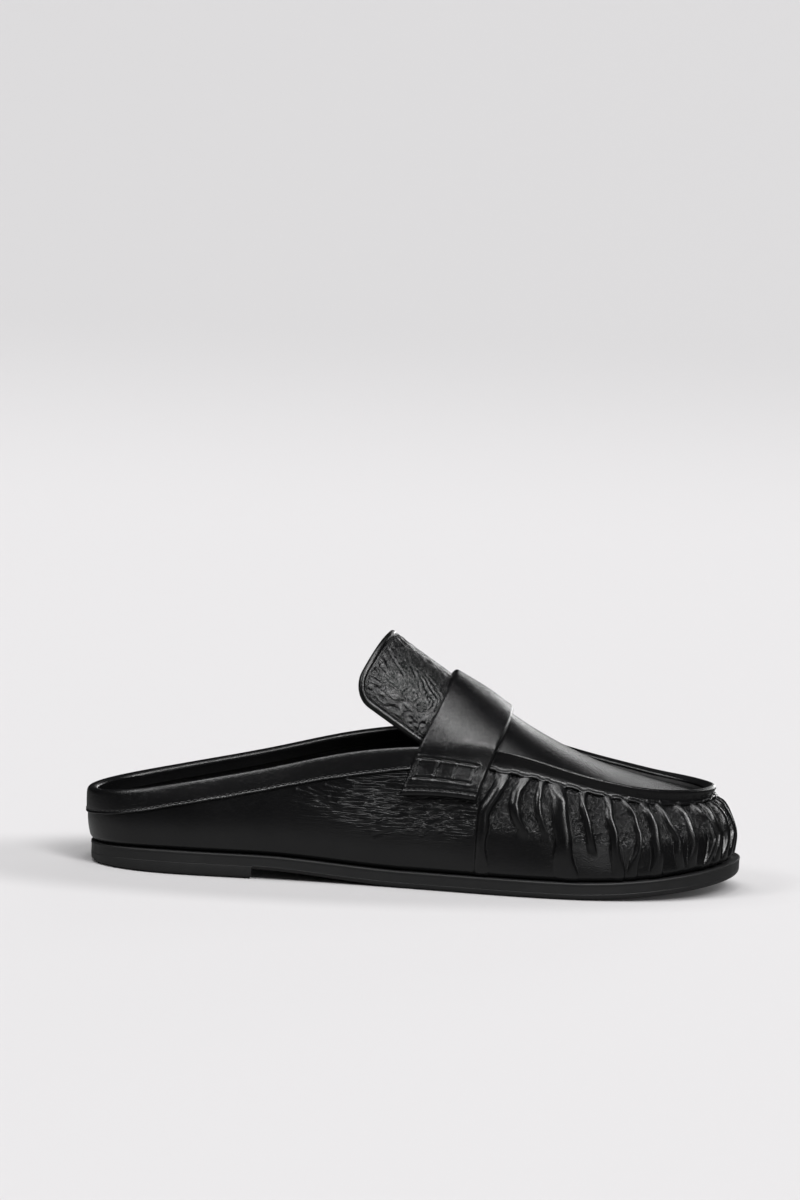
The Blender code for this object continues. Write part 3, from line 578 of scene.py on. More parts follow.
# further in from the insole's edge, the face that the height follows, and how far over it
SOCK_PROFILE = (
    (0.3, sock_under, 0.0), (0.0, sock_under, 0.4), (0.0, sock_over, -0.9),
      (0.25, sock_over, -0.45),
    (0.8, sock_over, -0.16), (2.0, sock_over, -0.08), (SOCK_STITCH_IN - 1.0, sock_over, -0.10),
    (SOCK_STITCH_IN - 0.5, sock_over, -0.28), (SOCK_STITCH_IN, sock_over, -SOCK_STITCH_SUNK),
    (SOCK_STITCH_IN + 0.5, sock_over, -0.28), (SOCK_STITCH_IN + 1.1, sock_over, -0.08),
    (SOCK_STITCH_IN + 3.0, sock_over, 0.0),
)
sock_levels = [
    (sock_edge + inset, lambda x, face=face, over=over: face(x) + over)
    for inset, face, over in SOCK_PROFILE
]
insole_sock = laid_sheet("insole_sock", plate(sock_stations, sock_levels, (sock_under, sock_over)))

# The grain that all the leathers share: pebbles, pores, soft dents and small creases.
leather_grain = bpy.data.node_groups.new("leather_grain", "ShaderNodeTree")
for title, kind, value in (
    ("Vector", "NodeSocketVector", (0.0, 0.0, 0.0)), ("Cell Scale", "NodeSocketFloat", 1100.0),
    ("Wrinkle", "NodeSocketFloat", 0.3),
):
    socket = leather_grain.interface.new_socket(title, in_out="INPUT", socket_type=kind)
    socket.default_value = value
for title in ("Height", "Rub"):
    leather_grain.interface.new_socket(title, in_out="OUTPUT", socket_type="NodeSocketFloat")
entry = leather_grain.nodes.new("NodeGroupInput")
leave = leather_grain.nodes.new("NodeGroupOutput")
vector = entry.outputs["Vector"]
drift = leather_grain.nodes.new("ShaderNodeTexNoise")
drift.inputs["Scale"].default_value = 240.0
leather_grain.links.new(vector, drift.inputs["Vector"])
shift = leather_grain.nodes.new("ShaderNodeVectorMath")
shift.operation = "MULTIPLY_ADD"
shift.inputs[1].default_value = (0.8 * MM, 0.8 * MM, 0.8 * MM)
leather_grain.links.new(drift.outputs["Color"], shift.inputs[0])
leather_grain.links.new(vector, shift.inputs[2])
warped = shift.outputs["Vector"]
pebbles = add_cells(leather_grain, warped, entry.outputs["Cell Scale"], "DISTANCE_TO_EDGE")
pebbles = add_range(leather_grain, pebbles, 0.0, 0.28)
pores = add_noise(leather_grain, warped, 2600.0, 2.0)
dents = add_noise(leather_grain, vector, 420.0, 3.0, 0.6)
creases = add_noise(leather_grain, warped, 130.0, 5.0, 0.62, 1.2)
creases = add_math(leather_grain, "SUBTRACT", creases, 0.5)
creases = add_range(leather_grain, add_math(leather_grain, "ABSOLUTE", creases), 0.0, 0.06)
fine = add_math(leather_grain, "MULTIPLY", pebbles, 0.45)
fine = add_math(leather_grain, "MULTIPLY_ADD", pores, 0.30, fine)
fine = add_math(leather_grain, "MULTIPLY_ADD", dents, 0.8, fine)
full = add_math(leather_grain, "MULTIPLY_ADD", creases, entry.outputs["Wrinkle"], fine)
leather_grain.links.new(full, leave.inputs["Height"])
leather_grain.links.new(add_noise(leather_grain, vector, 60.0, 4.0, 0.6), leave.inputs["Rub"])


def leather(name, dark, worn, depth, gloss, cell_scale=1100.0, wrinkle=0.3):
    """A leather: grain and small creases as bump over depth, gloss as a pair of roughnesses."""
    made, tree, shader, place = new_material(name)
    skin = tree.nodes.new("ShaderNodeGroup")
    skin.node_tree = leather_grain
    skin.inputs["Cell Scale"].default_value = cell_scale
    skin.inputs["Wrinkle"].default_value = wrinkle
    tree.links.new(place, skin.inputs["Vector"])
    rub = add_range(tree, skin.outputs["Rub"], 0.35, 0.72)
    tree.links.new(add_colours(tree, rub, dark, worn), shader.inputs["Base Color"])
    tree.links.new(add_range(tree, rub, 0.0, 1.0, *gloss), shader.inputs["Roughness"])
    normal = add_bump(tree, skin.outputs["Height"], depth)
    tree.links.new(normal, shader.inputs["Normal"])
    return made, tree, shader, skin, normal


sock_leather = leather("sock_leather", SOCK_BLACK, SOCK_RUBBED, 0.10, (0.60, 0.52), 1500.0)[0]
insole_sock.data.materials.append(sock_leather)
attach(insole_sock, "root")
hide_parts("insole")


def run_along(line):
    """How far along a line of points each point lies."""
    return np.concatenate([[0.0], np.cumsum(np.linalg.norm(np.diff(line, axis=0), axis=1))])


def read_at(where, run, values):
    """Points or ways read at distances along a line."""
    return np.column_stack([np.interp(where, run, values[:, k]) for k in range(3)])


def joined_pieces(name, pieces):
    """Pieces joined into the first of them, under one name."""
    bpy.ops.object.select_all(action="DESELECT")
    for piece in pieces:
        piece.select_set(True)
    bpy.context.view_layer.objects.active = pieces[0]
    if len(pieces) > 1:
        bpy.ops.object.join()
    pieces[0].name = pieces[0].data.name = name
    return pieces[0]


def stitch_row(name, line, normals, length, thick, sink):
    """A row of thread stitches along a line of points: one capsule, copied, laid and joined."""
    run = run_along(line)
    total = max(int(run[-1] / length), 1)
    middles = (np.arange(total) + 0.5) * run[-1] / total
    spots, ups = read_at(middles, run, line), read_at(middles, run, normals)
    ways = read_at(middles + length * 0.3, run, line) - read_at(middles - length * 0.3, run, line)
    bpy.ops.object.select_all(action="DESELECT")
    bpy.ops.mesh.primitive_uv_sphere_add(segments=6, ring_count=5, radius=0.5)
    first = bpy.context.object
    bpy.ops.object.shade_smooth()
    flat = np.empty(len(first.data.vertices) * 3, np.float32)
    first.data.vertices.foreach_get("co", flat)
    shape = flat.reshape(-1, 3)
    body = np.sign(shape[:, 2:]) * np.abs(shape[:, 2:] * 2) ** 0.7 / 2
    copies = []
    for spot, up, way in zip(spots, ups, ways):
        way = way / np.linalg.norm(way)
        up = up - way * (up @ way)
        up /= np.linalg.norm(up)
        side = np.cross(up, way)
        laid = body * way * length * 0.86 + (shape[:, :1] * side + shape[:, 1:2] * up) * thick
        laid = (spot + up * (thick * (0.5 - sink)) + laid + STAND) * MM
        copy = first.copy()
        copy.data = first.data.copy()
        copy.data.vertices.foreach_set("co", laid.astype(np.float32).ravel())
        bpy.context.scene.collection.objects.link(copy)
        copies.append(copy)
    bpy.data.objects.remove(first)
    return joined_pieces(name, copies)


THREAD_BLACK, THREAD_GREY = (0.010, 0.010, 0.010), (0.030, 0.030, 0.031)
thread, tree, shader, place = new_material("waxed_thread")
strands = tree.nodes.new("ShaderNodeTexWave")
strands.inputs["Scale"].default_value = 900.0
strands.inputs["Distortion"].default_value = 2.0
tree.links.new(place, strands.inputs["Vector"])
tree.links.new(
    add_colours(tree, strands.outputs["Fac"], THREAD_BLACK, THREAD_GREY),
    shader.inputs["Base Color"],
)
shader.inputs["Roughness"].default_value = 0.42
tree.links.new(add_bump(tree, strands.outputs["Fac"], 0.05), shader.inputs["Normal"])

flat = sock_sections.base - sock_sections.outward * (sock_edge + SOCK_STITCH_IN)[:, None]
sock_line = np.column_stack([flat, sock_over(flat[:, 0]) - SOCK_STITCH_SUNK])
straight_up = np.tile([0.0, 0.0, 1.0], (len(sock_line), 1))
sock_thread = stitch_row(
    "sock_stitches", sock_line, straight_up, SOCK_STITCH_LONG, SOCK_STITCH_THICK, sink=0.25
)
sock_thread.data.materials.append(thread)
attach(sock_thread, "root")


# Wall and plug
# The upper's body in soft glossy calf, lined with thin leather: plain quarters round the heel, a
# front wall drawn up in gathers where it is sewn to the plug, and the smooth plug over the toes.
# The wall is lasted under at its foot, where a dark slit shows between it and the sole.

OVERLAY_SET_IN, RIM_THICK, RIM_EDGE = 1.0, 1.5, 1.3
GATHER_STATION = 8.45
GATHER_FROM = float(loop_place(-1, GATHER_STATION))
GATHER_RUN = float(loop_place(1, GATHER_STATION)) - GATHER_FROM
TUCK_HEIGHT, TUCK_IN = 2.3, 1.3

# One row for each gathered fold, from the strap on the outer side to the toe: height; the roll's
# half-width on the heel side and on the toe side; how far the crest leans over to the toe; how
# low it runs, as a share of the wall; and the crest's path, as shares of the gathered run and of
# the wall.
OUTER_FOLDS = (
    (2.3, 3.1, 2.3, 0.5, 0.00,
     ((0.031, 1.0), (0.029, 0.91), (0.016, 0.71), (0.004, 0.58), (0.001, 0.30), (0.001, 0.0))),
    (2.2, 2.6, 1.9, 0.5, 0.44,
     ((0.068, 1.0), (0.063, 0.90), (0.052, 0.79), (0.049, 0.68), (0.057, 0.56), (0.068, 0.46))),
    (1.8, 1.8, 1.3, 0.4, 0.46,
     ((0.090, 1.0), (0.088, 0.87), (0.088, 0.71), (0.089, 0.62), (0.098, 0.50), (0.104, 0.40))),
    (2.3, 4.2, 2.5, 0.6, 0.00,
     ((0.118, 1.0), (0.121, 0.83), (0.126, 0.65), (0.134, 0.28), (0.142, 0.0))),
    (2.0, 1.9, 1.5, 0.4, 0.36,
     ((0.161, 1.0), (0.160, 0.87), (0.159, 0.77), (0.163, 0.66), (0.172, 0.50), (0.176, 0.3))),
    (2.2, 2.1, 1.6, 0.5, 0.00,
     ((0.202, 1.0), (0.203, 0.85), (0.204, 0.68), (0.213, 0.35), (0.221, 0.0))),
    (1.9, 1.7, 1.3, 0.4, 0.00,
     ((0.233, 1.0), (0.238, 0.85), (0.244, 0.74), (0.252, 0.54), (0.248, 0.34), (0.240, 0.0))),
    (2.2, 2.4, 1.8, 0.5, 0.00,
     ((0.270, 1.0), (0.273, 0.83), (0.280, 0.56), (0.283, 0.37), (0.284, 0.0))),
    (1.9, 1.7, 1.3, 0.4, 0.10,
     ((0.299, 1.0), (0.302, 0.82), (0.308, 0.66), (0.321, 0.44), (0.326, 0.15))),
    (2.0, 2.2, 1.7, 0.5, 0.06,
     ((0.344, 1.0), (0.346, 0.80), (0.350, 0.61), (0.351, 0.34), (0.352, 0.1))),
    (1.9, 1.8, 1.4, 0.4, 0.00,
     ((0.381, 1.0), (0.385, 0.78), (0.394, 0.66), (0.401, 0.40), (0.381, 0.0))),
    (1.7, 1.7, 1.3, 0.4, 0.00, ((0.410, 1.0), (0.411, 0.79), (0.417, 0.43), (0.407, 0.0))),
    (1.7, 1.8, 1.5, 0.4, 0.00, ((0.444, 1.0), (0.446, 0.82), (0.449, 0.44), (0.432, 0.0))),
    (1.6, 1.7, 1.5, 0.3, 0.00, ((0.480, 1.0), (0.482, 0.82), (0.479, 0.40), (0.457, 0.0))),
    (1.6, 1.7, 1.6, 0.3, 0.00, ((0.512, 1.0), (0.512, 0.80), (0.508, 0.40), (0.492, 0.0))),
)
# The inner side gathers alike, with its own spacing: how far each fold's twin stands off its
# mirrored place, and how much wider it is.
INNER_SHIFTS = (
    (0.002, 1.1), (-0.006, 1.0), (0.008, 0.9), (0.004, 1.0), (-0.005, 1.15), (0.006, 0.9),
    (-0.004, 1.1), (0.003, 0.85), (0.007, 1.1), (-0.006, 1.0), (0.004, 1.1), (-0.002, 1.0),
    (0.003, 1.0), (0.000, 1.0),
)
TOE_RUN = 0.5087
VALLEY_DEPTH, CRUMPLE = 0.60, 0.90

all_folds = list(OUTER_FOLDS)
for (height, before, after, lean, low, path), (slip, wider) in zip(OUTER_FOLDS, INNER_SHIFTS):
    twin = tuple((2 * TOE_RUN - run + slip, share) for run, share in path)
    all_folds.append((height, after * wider, before * wider, -lean, low, twin))


def ripples(x, y, shortest, longest, seed, stretch=1.0):
    """A soft random field of even strength, from waves of lengths between two sizes."""
    rng = np.random.default_rng(seed)
    total = np.zeros(np.broadcast(x, y).shape)
    for _ in range(14):
        turn, start = rng.uniform(0, math.pi), rng.uniform(0, 2 * math.pi)
        length = rng.uniform(shortest, longest)
        along = x * math.cos(turn) + y * math.sin(turn) / stretch
        total += np.cos(2 * math.pi * along / length + start)
    return total / math.sqrt(7.0)


def fold_shape(place, share):
    """The gathered wall's stand-out, its slip towards the toe, and how far it lies in a valley."""
    run = (place - GATHER_FROM) / GATHER_RUN
    powered = np.zeros_like(run)
    slip = np.zeros_like(run)
    spread = 1.0 + 0.18 * smooth((share - 0.35) / 0.3) + 0.5 * (1 - smooth(share / 0.42))
    for number, (height, before, after, lean, low, path) in enumerate(all_folds):
        runs, shares = np.array(path).T
        crest = np.interp(-share, -shares, runs)
        # the crest wanders a little on its way down
        crest = crest + 0.0012 * np.sin(share * 17 + number * 2.3)
        away = (run - crest) * GATHER_RUN
        side = np.where(away < 0, before, after) * spread
        near = np.clip(1 - np.abs(away) / side, 0.0, 1.0)
        round_off = np.sqrt(np.maximum(1 - (1 - near) ** 2, 0.0))
        steep = round_off if lean > 0 else 0.85 * round_off + 0.15 * smooth(near)
        easy = round_off if lean < 0 else 0.85 * round_off + 0.15 * smooth(near)
        roll = np.where(away < 0, easy, steep)
        fades = smooth((share - low + 0.10) / 0.30) if low > 0 else 1.0
        swell = 1 + 0.10 * np.sin(share * 11 + number * 1.7)
        stands = 1.12 * height * roll * fades * swell
        powered += stands**6
        slip += lean * roll**1.6 * fades
    stands = powered ** (1 / 6)
    inside = smooth(run / 0.012 + 1.0) * smooth((1 - run) / 0.012 + 1.0)
    pinch = 1 - 0.58 * smooth((share - 0.78) / 0.20) - 0.34 * smooth((share - 0.95) / 0.05)
    foot = 0.30 + 0.70 * smooth((share - 0.02) / 0.42)
    within = inside * smooth((run + 0.01) / 0.03) * smooth((1.01 - run) / 0.03)
    valley = (1 - smooth(stands / 1.1)) * within
    return stands * pinch * foot * inside, slip * pinch * foot * inside, valley


# Creases of the quarter, where the foot's bend pulls it under the strap: depth, width, and a path
# in millimetres round the edge and shares of the wall.
QUARTER_CREASES = (
    (0.17, 0.6, ((99.2, 0.95), (104.2, 0.88), (110.9, 0.78))),
    (0.17, 0.6, ((104.2, 0.93), (110.9, 0.82))),
    (0.17, 0.6, ((95.9, 0.83), (102.6, 0.75), (107.6, 0.7))),
    (0.22, 0.75, ((107.6, 0.77), (115.9, 0.63), (120.9, 0.59), (129.3, 0.61))),
    (0.17, 0.6, ((112.6, 0.65), (120.9, 0.54), (126.0, 0.54))),
    (0.19, 0.65, ((117.6, 0.73), (124.3, 0.68), (131.0, 0.73))),
    (0.19, 0.7, ((122.6, 0.88), (129.3, 0.83), (137.7, 0.82))),
    (0.17, 0.6, ((119.3, 0.98), (124.3, 0.92))),
    (0.17, 0.6, ((127.6, 0.78), (139.4, 0.77))),
    (0.22, 0.8, ((124.3, 0.46), (132.7, 0.51), (142.6, 0.59), (152.1, 0.63))),
    (0.19, 0.7, ((131.0, 0.35), (141.0, 0.42), (148.9, 0.53), (156.8, 0.61))),
    (0.19, 0.7, ((145.8, 0.42), (153.7, 0.51), (161.6, 0.59))),
    (0.21, 0.75, ((150.5, 0.37), (160.0, 0.51), (165.3, 0.58))),
    (0.17, 0.7, ((158.4, 0.42), (163.2, 0.56), (170.3, 0.51))),
    (0.17, 0.6, ((132.7, 0.65), (141.0, 0.66), (147.4, 0.7))),
    (0.17, 0.6, ((139.4, 0.7), (145.8, 0.61), (153.7, 0.58))),
    (0.17, 0.6, ((110.9, 0.95), (117.6, 0.87), (124.3, 0.8))),
    (0.26, 0.6, ((172.6, 0.58), (172.2, 0.3), (172.0, 0.03))),
)

places = [0.0, 96.0, GATHER_FROM - 2.0, GATHER_FROM + GATHER_RUN + 2.0, LOOP_LENGTH]
wall_places = np.concatenate([
    np.linspace(places[0], places[1], 58)[:-1], np.linspace(places[1], places[2], 176)[:-1],
    np.linspace(places[2], places[3], 736)[:-1], np.linspace(places[3], places[4], 96),
])
wall_sections = Sections(wall_places)

FACE_ROWS = 66
steps = np.linspace(0.0, 1.0, FACE_ROWS)
face_shares = 0.25 * steps + 0.75 * (1 - (1 - steps) ** 1.3)


def distance_to(path, x, y):
    """Distance of points from a path of straight runs."""
    nearest = np.full(np.broadcast(x, y).shape, 1e9)
    for (x0, y0), (x1, y1) in zip(path[:-1], path[1:]):
        dx, dy = x1 - x0, y1 - y0
        t = np.clip(((x - x0) * dx + (y - y0) * dy) / (dx * dx + dy * dy + 1e-12), 0.0, 1.0)
        nearest = np.minimum(nearest, np.hypot(x - x0 - t * dx, y - y0 - t * dy))
    return nearest


def creases_at(creases, x, y):
    """Soft troughs with a low ridge on each side, summed over the given paths."""
    total = np.zeros(np.broadcast(x, y).shape)
    for depth, width, path in creases:
        away = distance_to(path, x, y) / width
        total -= depth * (np.exp(-(away**2)) - 0.6 * np.exp(-((away - 1.7) ** 2) * 1.5))
    return total


# about how high the wall is, which turns shares of it into millimetres for the creases
WALL_HIGH = 40.0
quarter_paths = [
    (depth, width, [(along, share * WALL_HIGH) for along, share in path])
    for depth, width, path in QUARTER_CREASES
]
wall_rows, valley_rows, share_rows, crease_rows = [], [], [], []
for share in face_shares:
    where, normal = wall_sections.wall(share)
    stands, slip, valley = fold_shape(wall_places, share)
    high = share * WALL_HIGH
    crumpled = smooth((share - 0.36) / 0.22) * valley
    field = ripples(wall_places, high, 3.6, 7.0, 11, 1.5)
    fine = ripples(wall_places, high, 2.4, 4.0, 23, 1.2)
    crumple = 0.6 * np.exp(-((field / 0.75) ** 2)) + 0.4 * np.exp(-((fine / 0.75) ** 2))
    stands = stands + crumpled * CRUMPLE * crumple - VALLEY_DEPTH * valley * smooth(share / 0.3)
    zone = np.exp(-(((wall_places - 158.0) / 34.0) ** 2)) * np.exp(-(((share - 0.66) / 0.24) ** 2))
    twin = np.exp(-(((wall_places - 452.0) / 30.0) ** 2)) * np.exp(-(((share - 0.66) / 0.24) ** 2))
    zone = (zone + twin) * smooth((GATHER_FROM - 1 - wall_places) / 4 + (wall_places > 400) * 999.0)
    stands = stands + creases_at(quarter_paths, wall_places, high)
    above = where[:, 1] - wall_sections.base_z
    tuck = TUCK_IN * np.clip(1 - above / TUCK_HEIGHT, 0.0, 1.0) ** 2
    out = where[:, 0] + normal[:, 0] * stands - tuck
    wall_rows.append(wall_sections.point(out, where[:, 1] + normal[:, 1] * stands, slip))
    valley_rows.append(crumpled)
    share_rows.append(np.full_like(stands, share))
    crease_rows.append(zone)
step = -OVERLAY_SET_IN
inner_step = step - RIM_THICK
rise = wall_sections.rim_length()
hidden = [
    wall_sections.rim(0.15, step), wall_sections.rim(rise - RIM_EDGE, step),
    wall_sections.rim(rise - RIM_EDGE, inner_step), wall_sections.rim(0.0, inner_step),
]
for share in np.linspace(0.90, 0.0, 9):
    where, normal = wall_sections.wall(share)
    foot = np.array([1.0, 0.0]) if share == 0.0 else normal
    hidden.append(where - foot * WALL_THICK)
for spot in hidden:
    wall_rows.append(wall_sections.point(spot[:, 0], spot[:, 1]))
    valley_rows.append(np.zeros(len(wall_places)))
    crease_rows.append(np.zeros(len(wall_places)))
    share_rows.append(np.full(len(wall_places), -1.0))
for rows in (wall_rows, valley_rows, share_rows, crease_rows):
    rows.append(rows[0])
wall_marks = {
    "valley": np.array(valley_rows), "share": np.array(share_rows),
    "crease": np.array(crease_rows),
}
upper_wall = laid_sheet("upper_wall", np.array(wall_rows), marks=wall_marks)


def arch_points(ridge, edge, turn, arch):
    """Points of a round arch in a leaning plane, from its ridge (turn 0) to its edge (turn 1)."""
    across = np.sin(turn * arch) / np.sin(arch)
    rise = (np.cos(turn * arch) - np.cos(arch)) / (1 - np.cos(arch))
    x = edge[..., 0] + (ridge[..., 0] - edge[..., 0]) * rise
    z = edge[..., 2] + (ridge[..., 2] - edge[..., 2]) * rise
    y = ridge[..., 1] + (edge[..., 1] - ridge[..., 1]) * across
    return np.stack([x, y, z], axis=-1)


def crown_edge(sections, inset):
    flat = sections.base - sections.outward * (sections.top_in + inset)[..., None]
    return np.concatenate([flat, (sections.top_z - sections.drop)[..., None]], axis=-1)


def ridge_of(station, inset):
    """The ridge over the foot at stations, midway between the two edges of the arch."""
    pair = [Sections(loop_place(side, station)) for side in (-1, 1)]
    middle = (crown_edge(pair[0], inset)[..., 1] + crown_edge(pair[1], inset)[..., 1]) / 2
    return np.stack([pair[0].crown_x, middle, pair[0].crown_z], axis=-1)


def crown_rows(stations, turns, inset):
    """Rows of points of the arch, one row a station; turns run from -1, the outer edge, to 1."""
    stations = np.asarray(stations, float)
    ridge = ridge_of(stations, inset)
    sides = {side: Sections(loop_place(side, stations)) for side in (-1, 1)}
    columns = []
    for turn in turns:
        sections = sides[-1 if turn < 0 else 1]
        edge = crown_edge(sections, inset)
        columns.append(arch_points(ridge, edge, abs(turn), sections.arch))
    return np.stack(columns, axis=1)


def grid_normals(grid):
    """Unit normals of rows of points, turned up."""
    normals = np.cross(np.gradient(grid, axis=0), np.gradient(grid, axis=1))
    lengths = np.linalg.norm(normals, axis=2, keepdims=True)
    normals = normals / np.maximum(lengths, 1e-9)
    return normals * np.where(normals[..., 2:].mean() < 0, -1.0, 1.0)


PLUG_THICK, PLUG_JOIN, JOINT_STATION = 1.8, 1.1, 7.95
plug_stations = np.linspace(JOINT_STATION, TOE_STATION, 96)
plug_turns = np.linspace(-1.0, 1.0, 61)
plug_inset = OVERLAY_SET_IN + RIM_THICK
plug_grid = crown_rows(plug_stations, plug_turns, plug_inset)
joined = []
for side, column in ((-1, 0), (1, -1)):
    sections = Sections(loop_place(side, plug_stations))
    out = np.column_stack([sections.outward * PLUG_JOIN, np.zeros(len(plug_stations))])
    joined.append(plug_grid[:, column] + out)
plug_grid = np.concatenate([joined[0][:, None], plug_grid, joined[1][:, None]], axis=1)
plug = laid_sheet("plug", plug_grid, closed=False)
bpy.ops.object.mode_set(mode="EDIT")
bpy.ops.mesh.select_all(action="SELECT")
bpy.ops.mesh.normals_make_consistent(inside=False)
bpy.ops.object.mode_set(mode="OBJECT")
if np.mean([face.normal.z for face in plug.data.polygons]) < 0:
    plug.data.flip_normals()
skin = plug.modifiers.new("leather", "SOLIDIFY")
skin.thickness = PLUG_THICK * MM
skin.offset = -1.0
skin.material_offset = 1
bpy.ops.object.modifier_apply(modifier="leather")

CALF_BLACK, CALF_RUBBED = (0.0030, 0.0030, 0.0033), (0.0052, 0.0052, 0.0056)
LINING_BLACK, LINING_RUBBED = (0.006, 0.006, 0.0063), (0.011, 0.0108, 0.0108)

lining_leather = leather(
    "lining_leather", LINING_BLACK, LINING_RUBBED, 0.08, (0.62, 0.55), 1400.0
)[0]
plug_leather = leather(
    "plug_leather", CALF_BLACK, CALF_RUBBED, 0.04, (0.27, 0.24), 1500.0, wrinkle=0.25
)[0]

wall_leather, tree, shader, skin, normal = leather(
    "wall_leather", CALF_BLACK, CALF_RUBBED, 0.04, (0.23, 0.20), 1500.0, wrinkle=0.3
)


def add_mark(tree, name):
    node = tree.nodes.new("ShaderNodeAttribute")
    node.attribute_name = name
    return node.outputs["Fac"]


def add_scratches(tree, place, turn, length, width, seed):
    """Fine light-catching creases that run one way over the shoe's side: 0 to 1."""
    laid = tree.nodes.new("ShaderNodeMapping")
    laid.inputs["Location"].default_value = (seed, 0.0, 0.0)
    laid.inputs["Rotation"].default_value = (0.0, turn, 0.0)
    laid.inputs["Scale"].default_value = (1000.0 / length, 1.0, 1000.0 / width)
    tree.links.new(place, laid.inputs["Vector"])
    lines = add_noise(tree, laid.outputs["Vector"], 1.0, 1.0, 0.5, 0.15)
    away = add_math(tree, "ABSOLUTE", add_math(tree, "SUBTRACT", lines, 0.5))
    return add_range(tree, away, 0.035, 0.0)


valley = add_mark(tree, "valley")
crease = add_mark(tree, "crease")
place = skin.inputs["Vector"].links[0].from_socket


def add_crackle(tree, place, scale, width):
    """Short worm-like ridges that wander over crumpled skin: 0 to 1."""
    worms = add_noise(tree, place, scale, 2.0, 0.6, 1.2)
    worms = add_math(tree, "ABSOLUTE", add_math(tree, "SUBTRACT", worms, 0.5))
    return add_range(tree, worms, width, 0.0)


coarse = add_crackle(tree, place, 430.0, 0.12)
small = add_crackle(tree, place, 900.0, 0.16)
crackle = add_math(tree, "MULTIPLY", add_math(tree, "MULTIPLY_ADD", small, 0.5, coarse), valley)
falling = add_scratches(tree, place, math.radians(-16.0), 17.0, 1.5, 3.1)
rising = add_scratches(tree, place, math.radians(22.0), 15.0, 1.7, 7.7)
scratch = add_math(tree, "MULTIPLY", add_math(tree, "MAXIMUM", falling, rising), crease)
relief = add_math(tree, "MULTIPLY_ADD", scratch, 1.1, crackle)
tree.links.new(add_bump(tree, relief, 0.27, normal), shader.inputs["Normal"])

wall_looks, plug_looks = (wall_leather, lining_leather), (plug_leather, lining_leather)
for piece, looks in ((upper_wall, wall_looks), (plug, plug_looks)):
    for look in looks:
        piece.data.materials.append(look)
    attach(piece, "root")
    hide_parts("upper")

# the wall's inner face, and its top that the overlays hide, are the lining
share_mark = np.empty(len(upper_wall.data.vertices), np.float32)
upper_wall.data.attributes["share"].data.foreach_get("value", share_mark)
corner_of = np.empty(len(upper_wall.data.loops), np.int32)
upper_wall.data.loops.foreach_get("vertex_index", corner_of)
starts = np.empty(len(upper_wall.data.polygons), np.int32)
upper_wall.data.polygons.foreach_get("loop_start", starts)
lowest = np.minimum.reduceat(share_mark[corner_of], starts)
upper_wall.data.polygons.foreach_set("material_index", (lowest < -0.5).astype(np.int32))
upper_wall.data.update()


# Apron seam
# The raised edge where plug and wall are sewn together: a strip of calf folded up over the seam,
# its top edge sharp at the sides and a round roll over the toe, its lower edge a thin corded
# lip that dips over each gather.

RIB_END_STATION, RIB_PROUD, OVERLAY_TAPER = 8.38, 0.9, 14.0
LIP_DROP, LIP_WAVE = 0.8, 0.85


def taper(place, ends):
    """An overlay lies flush near its ends, under the strap, and stands proud elsewhere."""
    away = np.minimum(np.abs(place - ends[0]), np.abs(place - ends[1]))
    return 0.1 + 0.9 * smooth(away / OVERLAY_TAPER)


def strip(name, places, profile):
    """A strip swept along the top of the wall; profile gives (rise, out) pairs at the places."""
    sections = Sections(places)
    rows = []
    for rise, out in profile(sections):
        spot = sections.rim(rise, out)
        rows.append(sections.point(spot[:, 0], spot[:, 1]))
    rows.append(rows[0])
    rows = np.array(rows)
    middle = rows[:-1].mean(axis=0)
    ends = []
    for column in (0, -1):
        closing = np.repeat(middle[None, column], len(rows), axis=0)
        ends.append(closing + (rows[:, column] - closing) * 0.5)
        ends.append(closing)
    full = np.concatenate(
        [ends[1][:, None], ends[0][:, None], rows, ends[2][:, None], ends[3][:, None]], axis=1
    )
    return laid_sheet(name, full)


rib_ends = [float(loop_place(side, RIB_END_STATION)) for side in (-1, 1)]
rib_places = np.linspace(*rib_ends, 760)


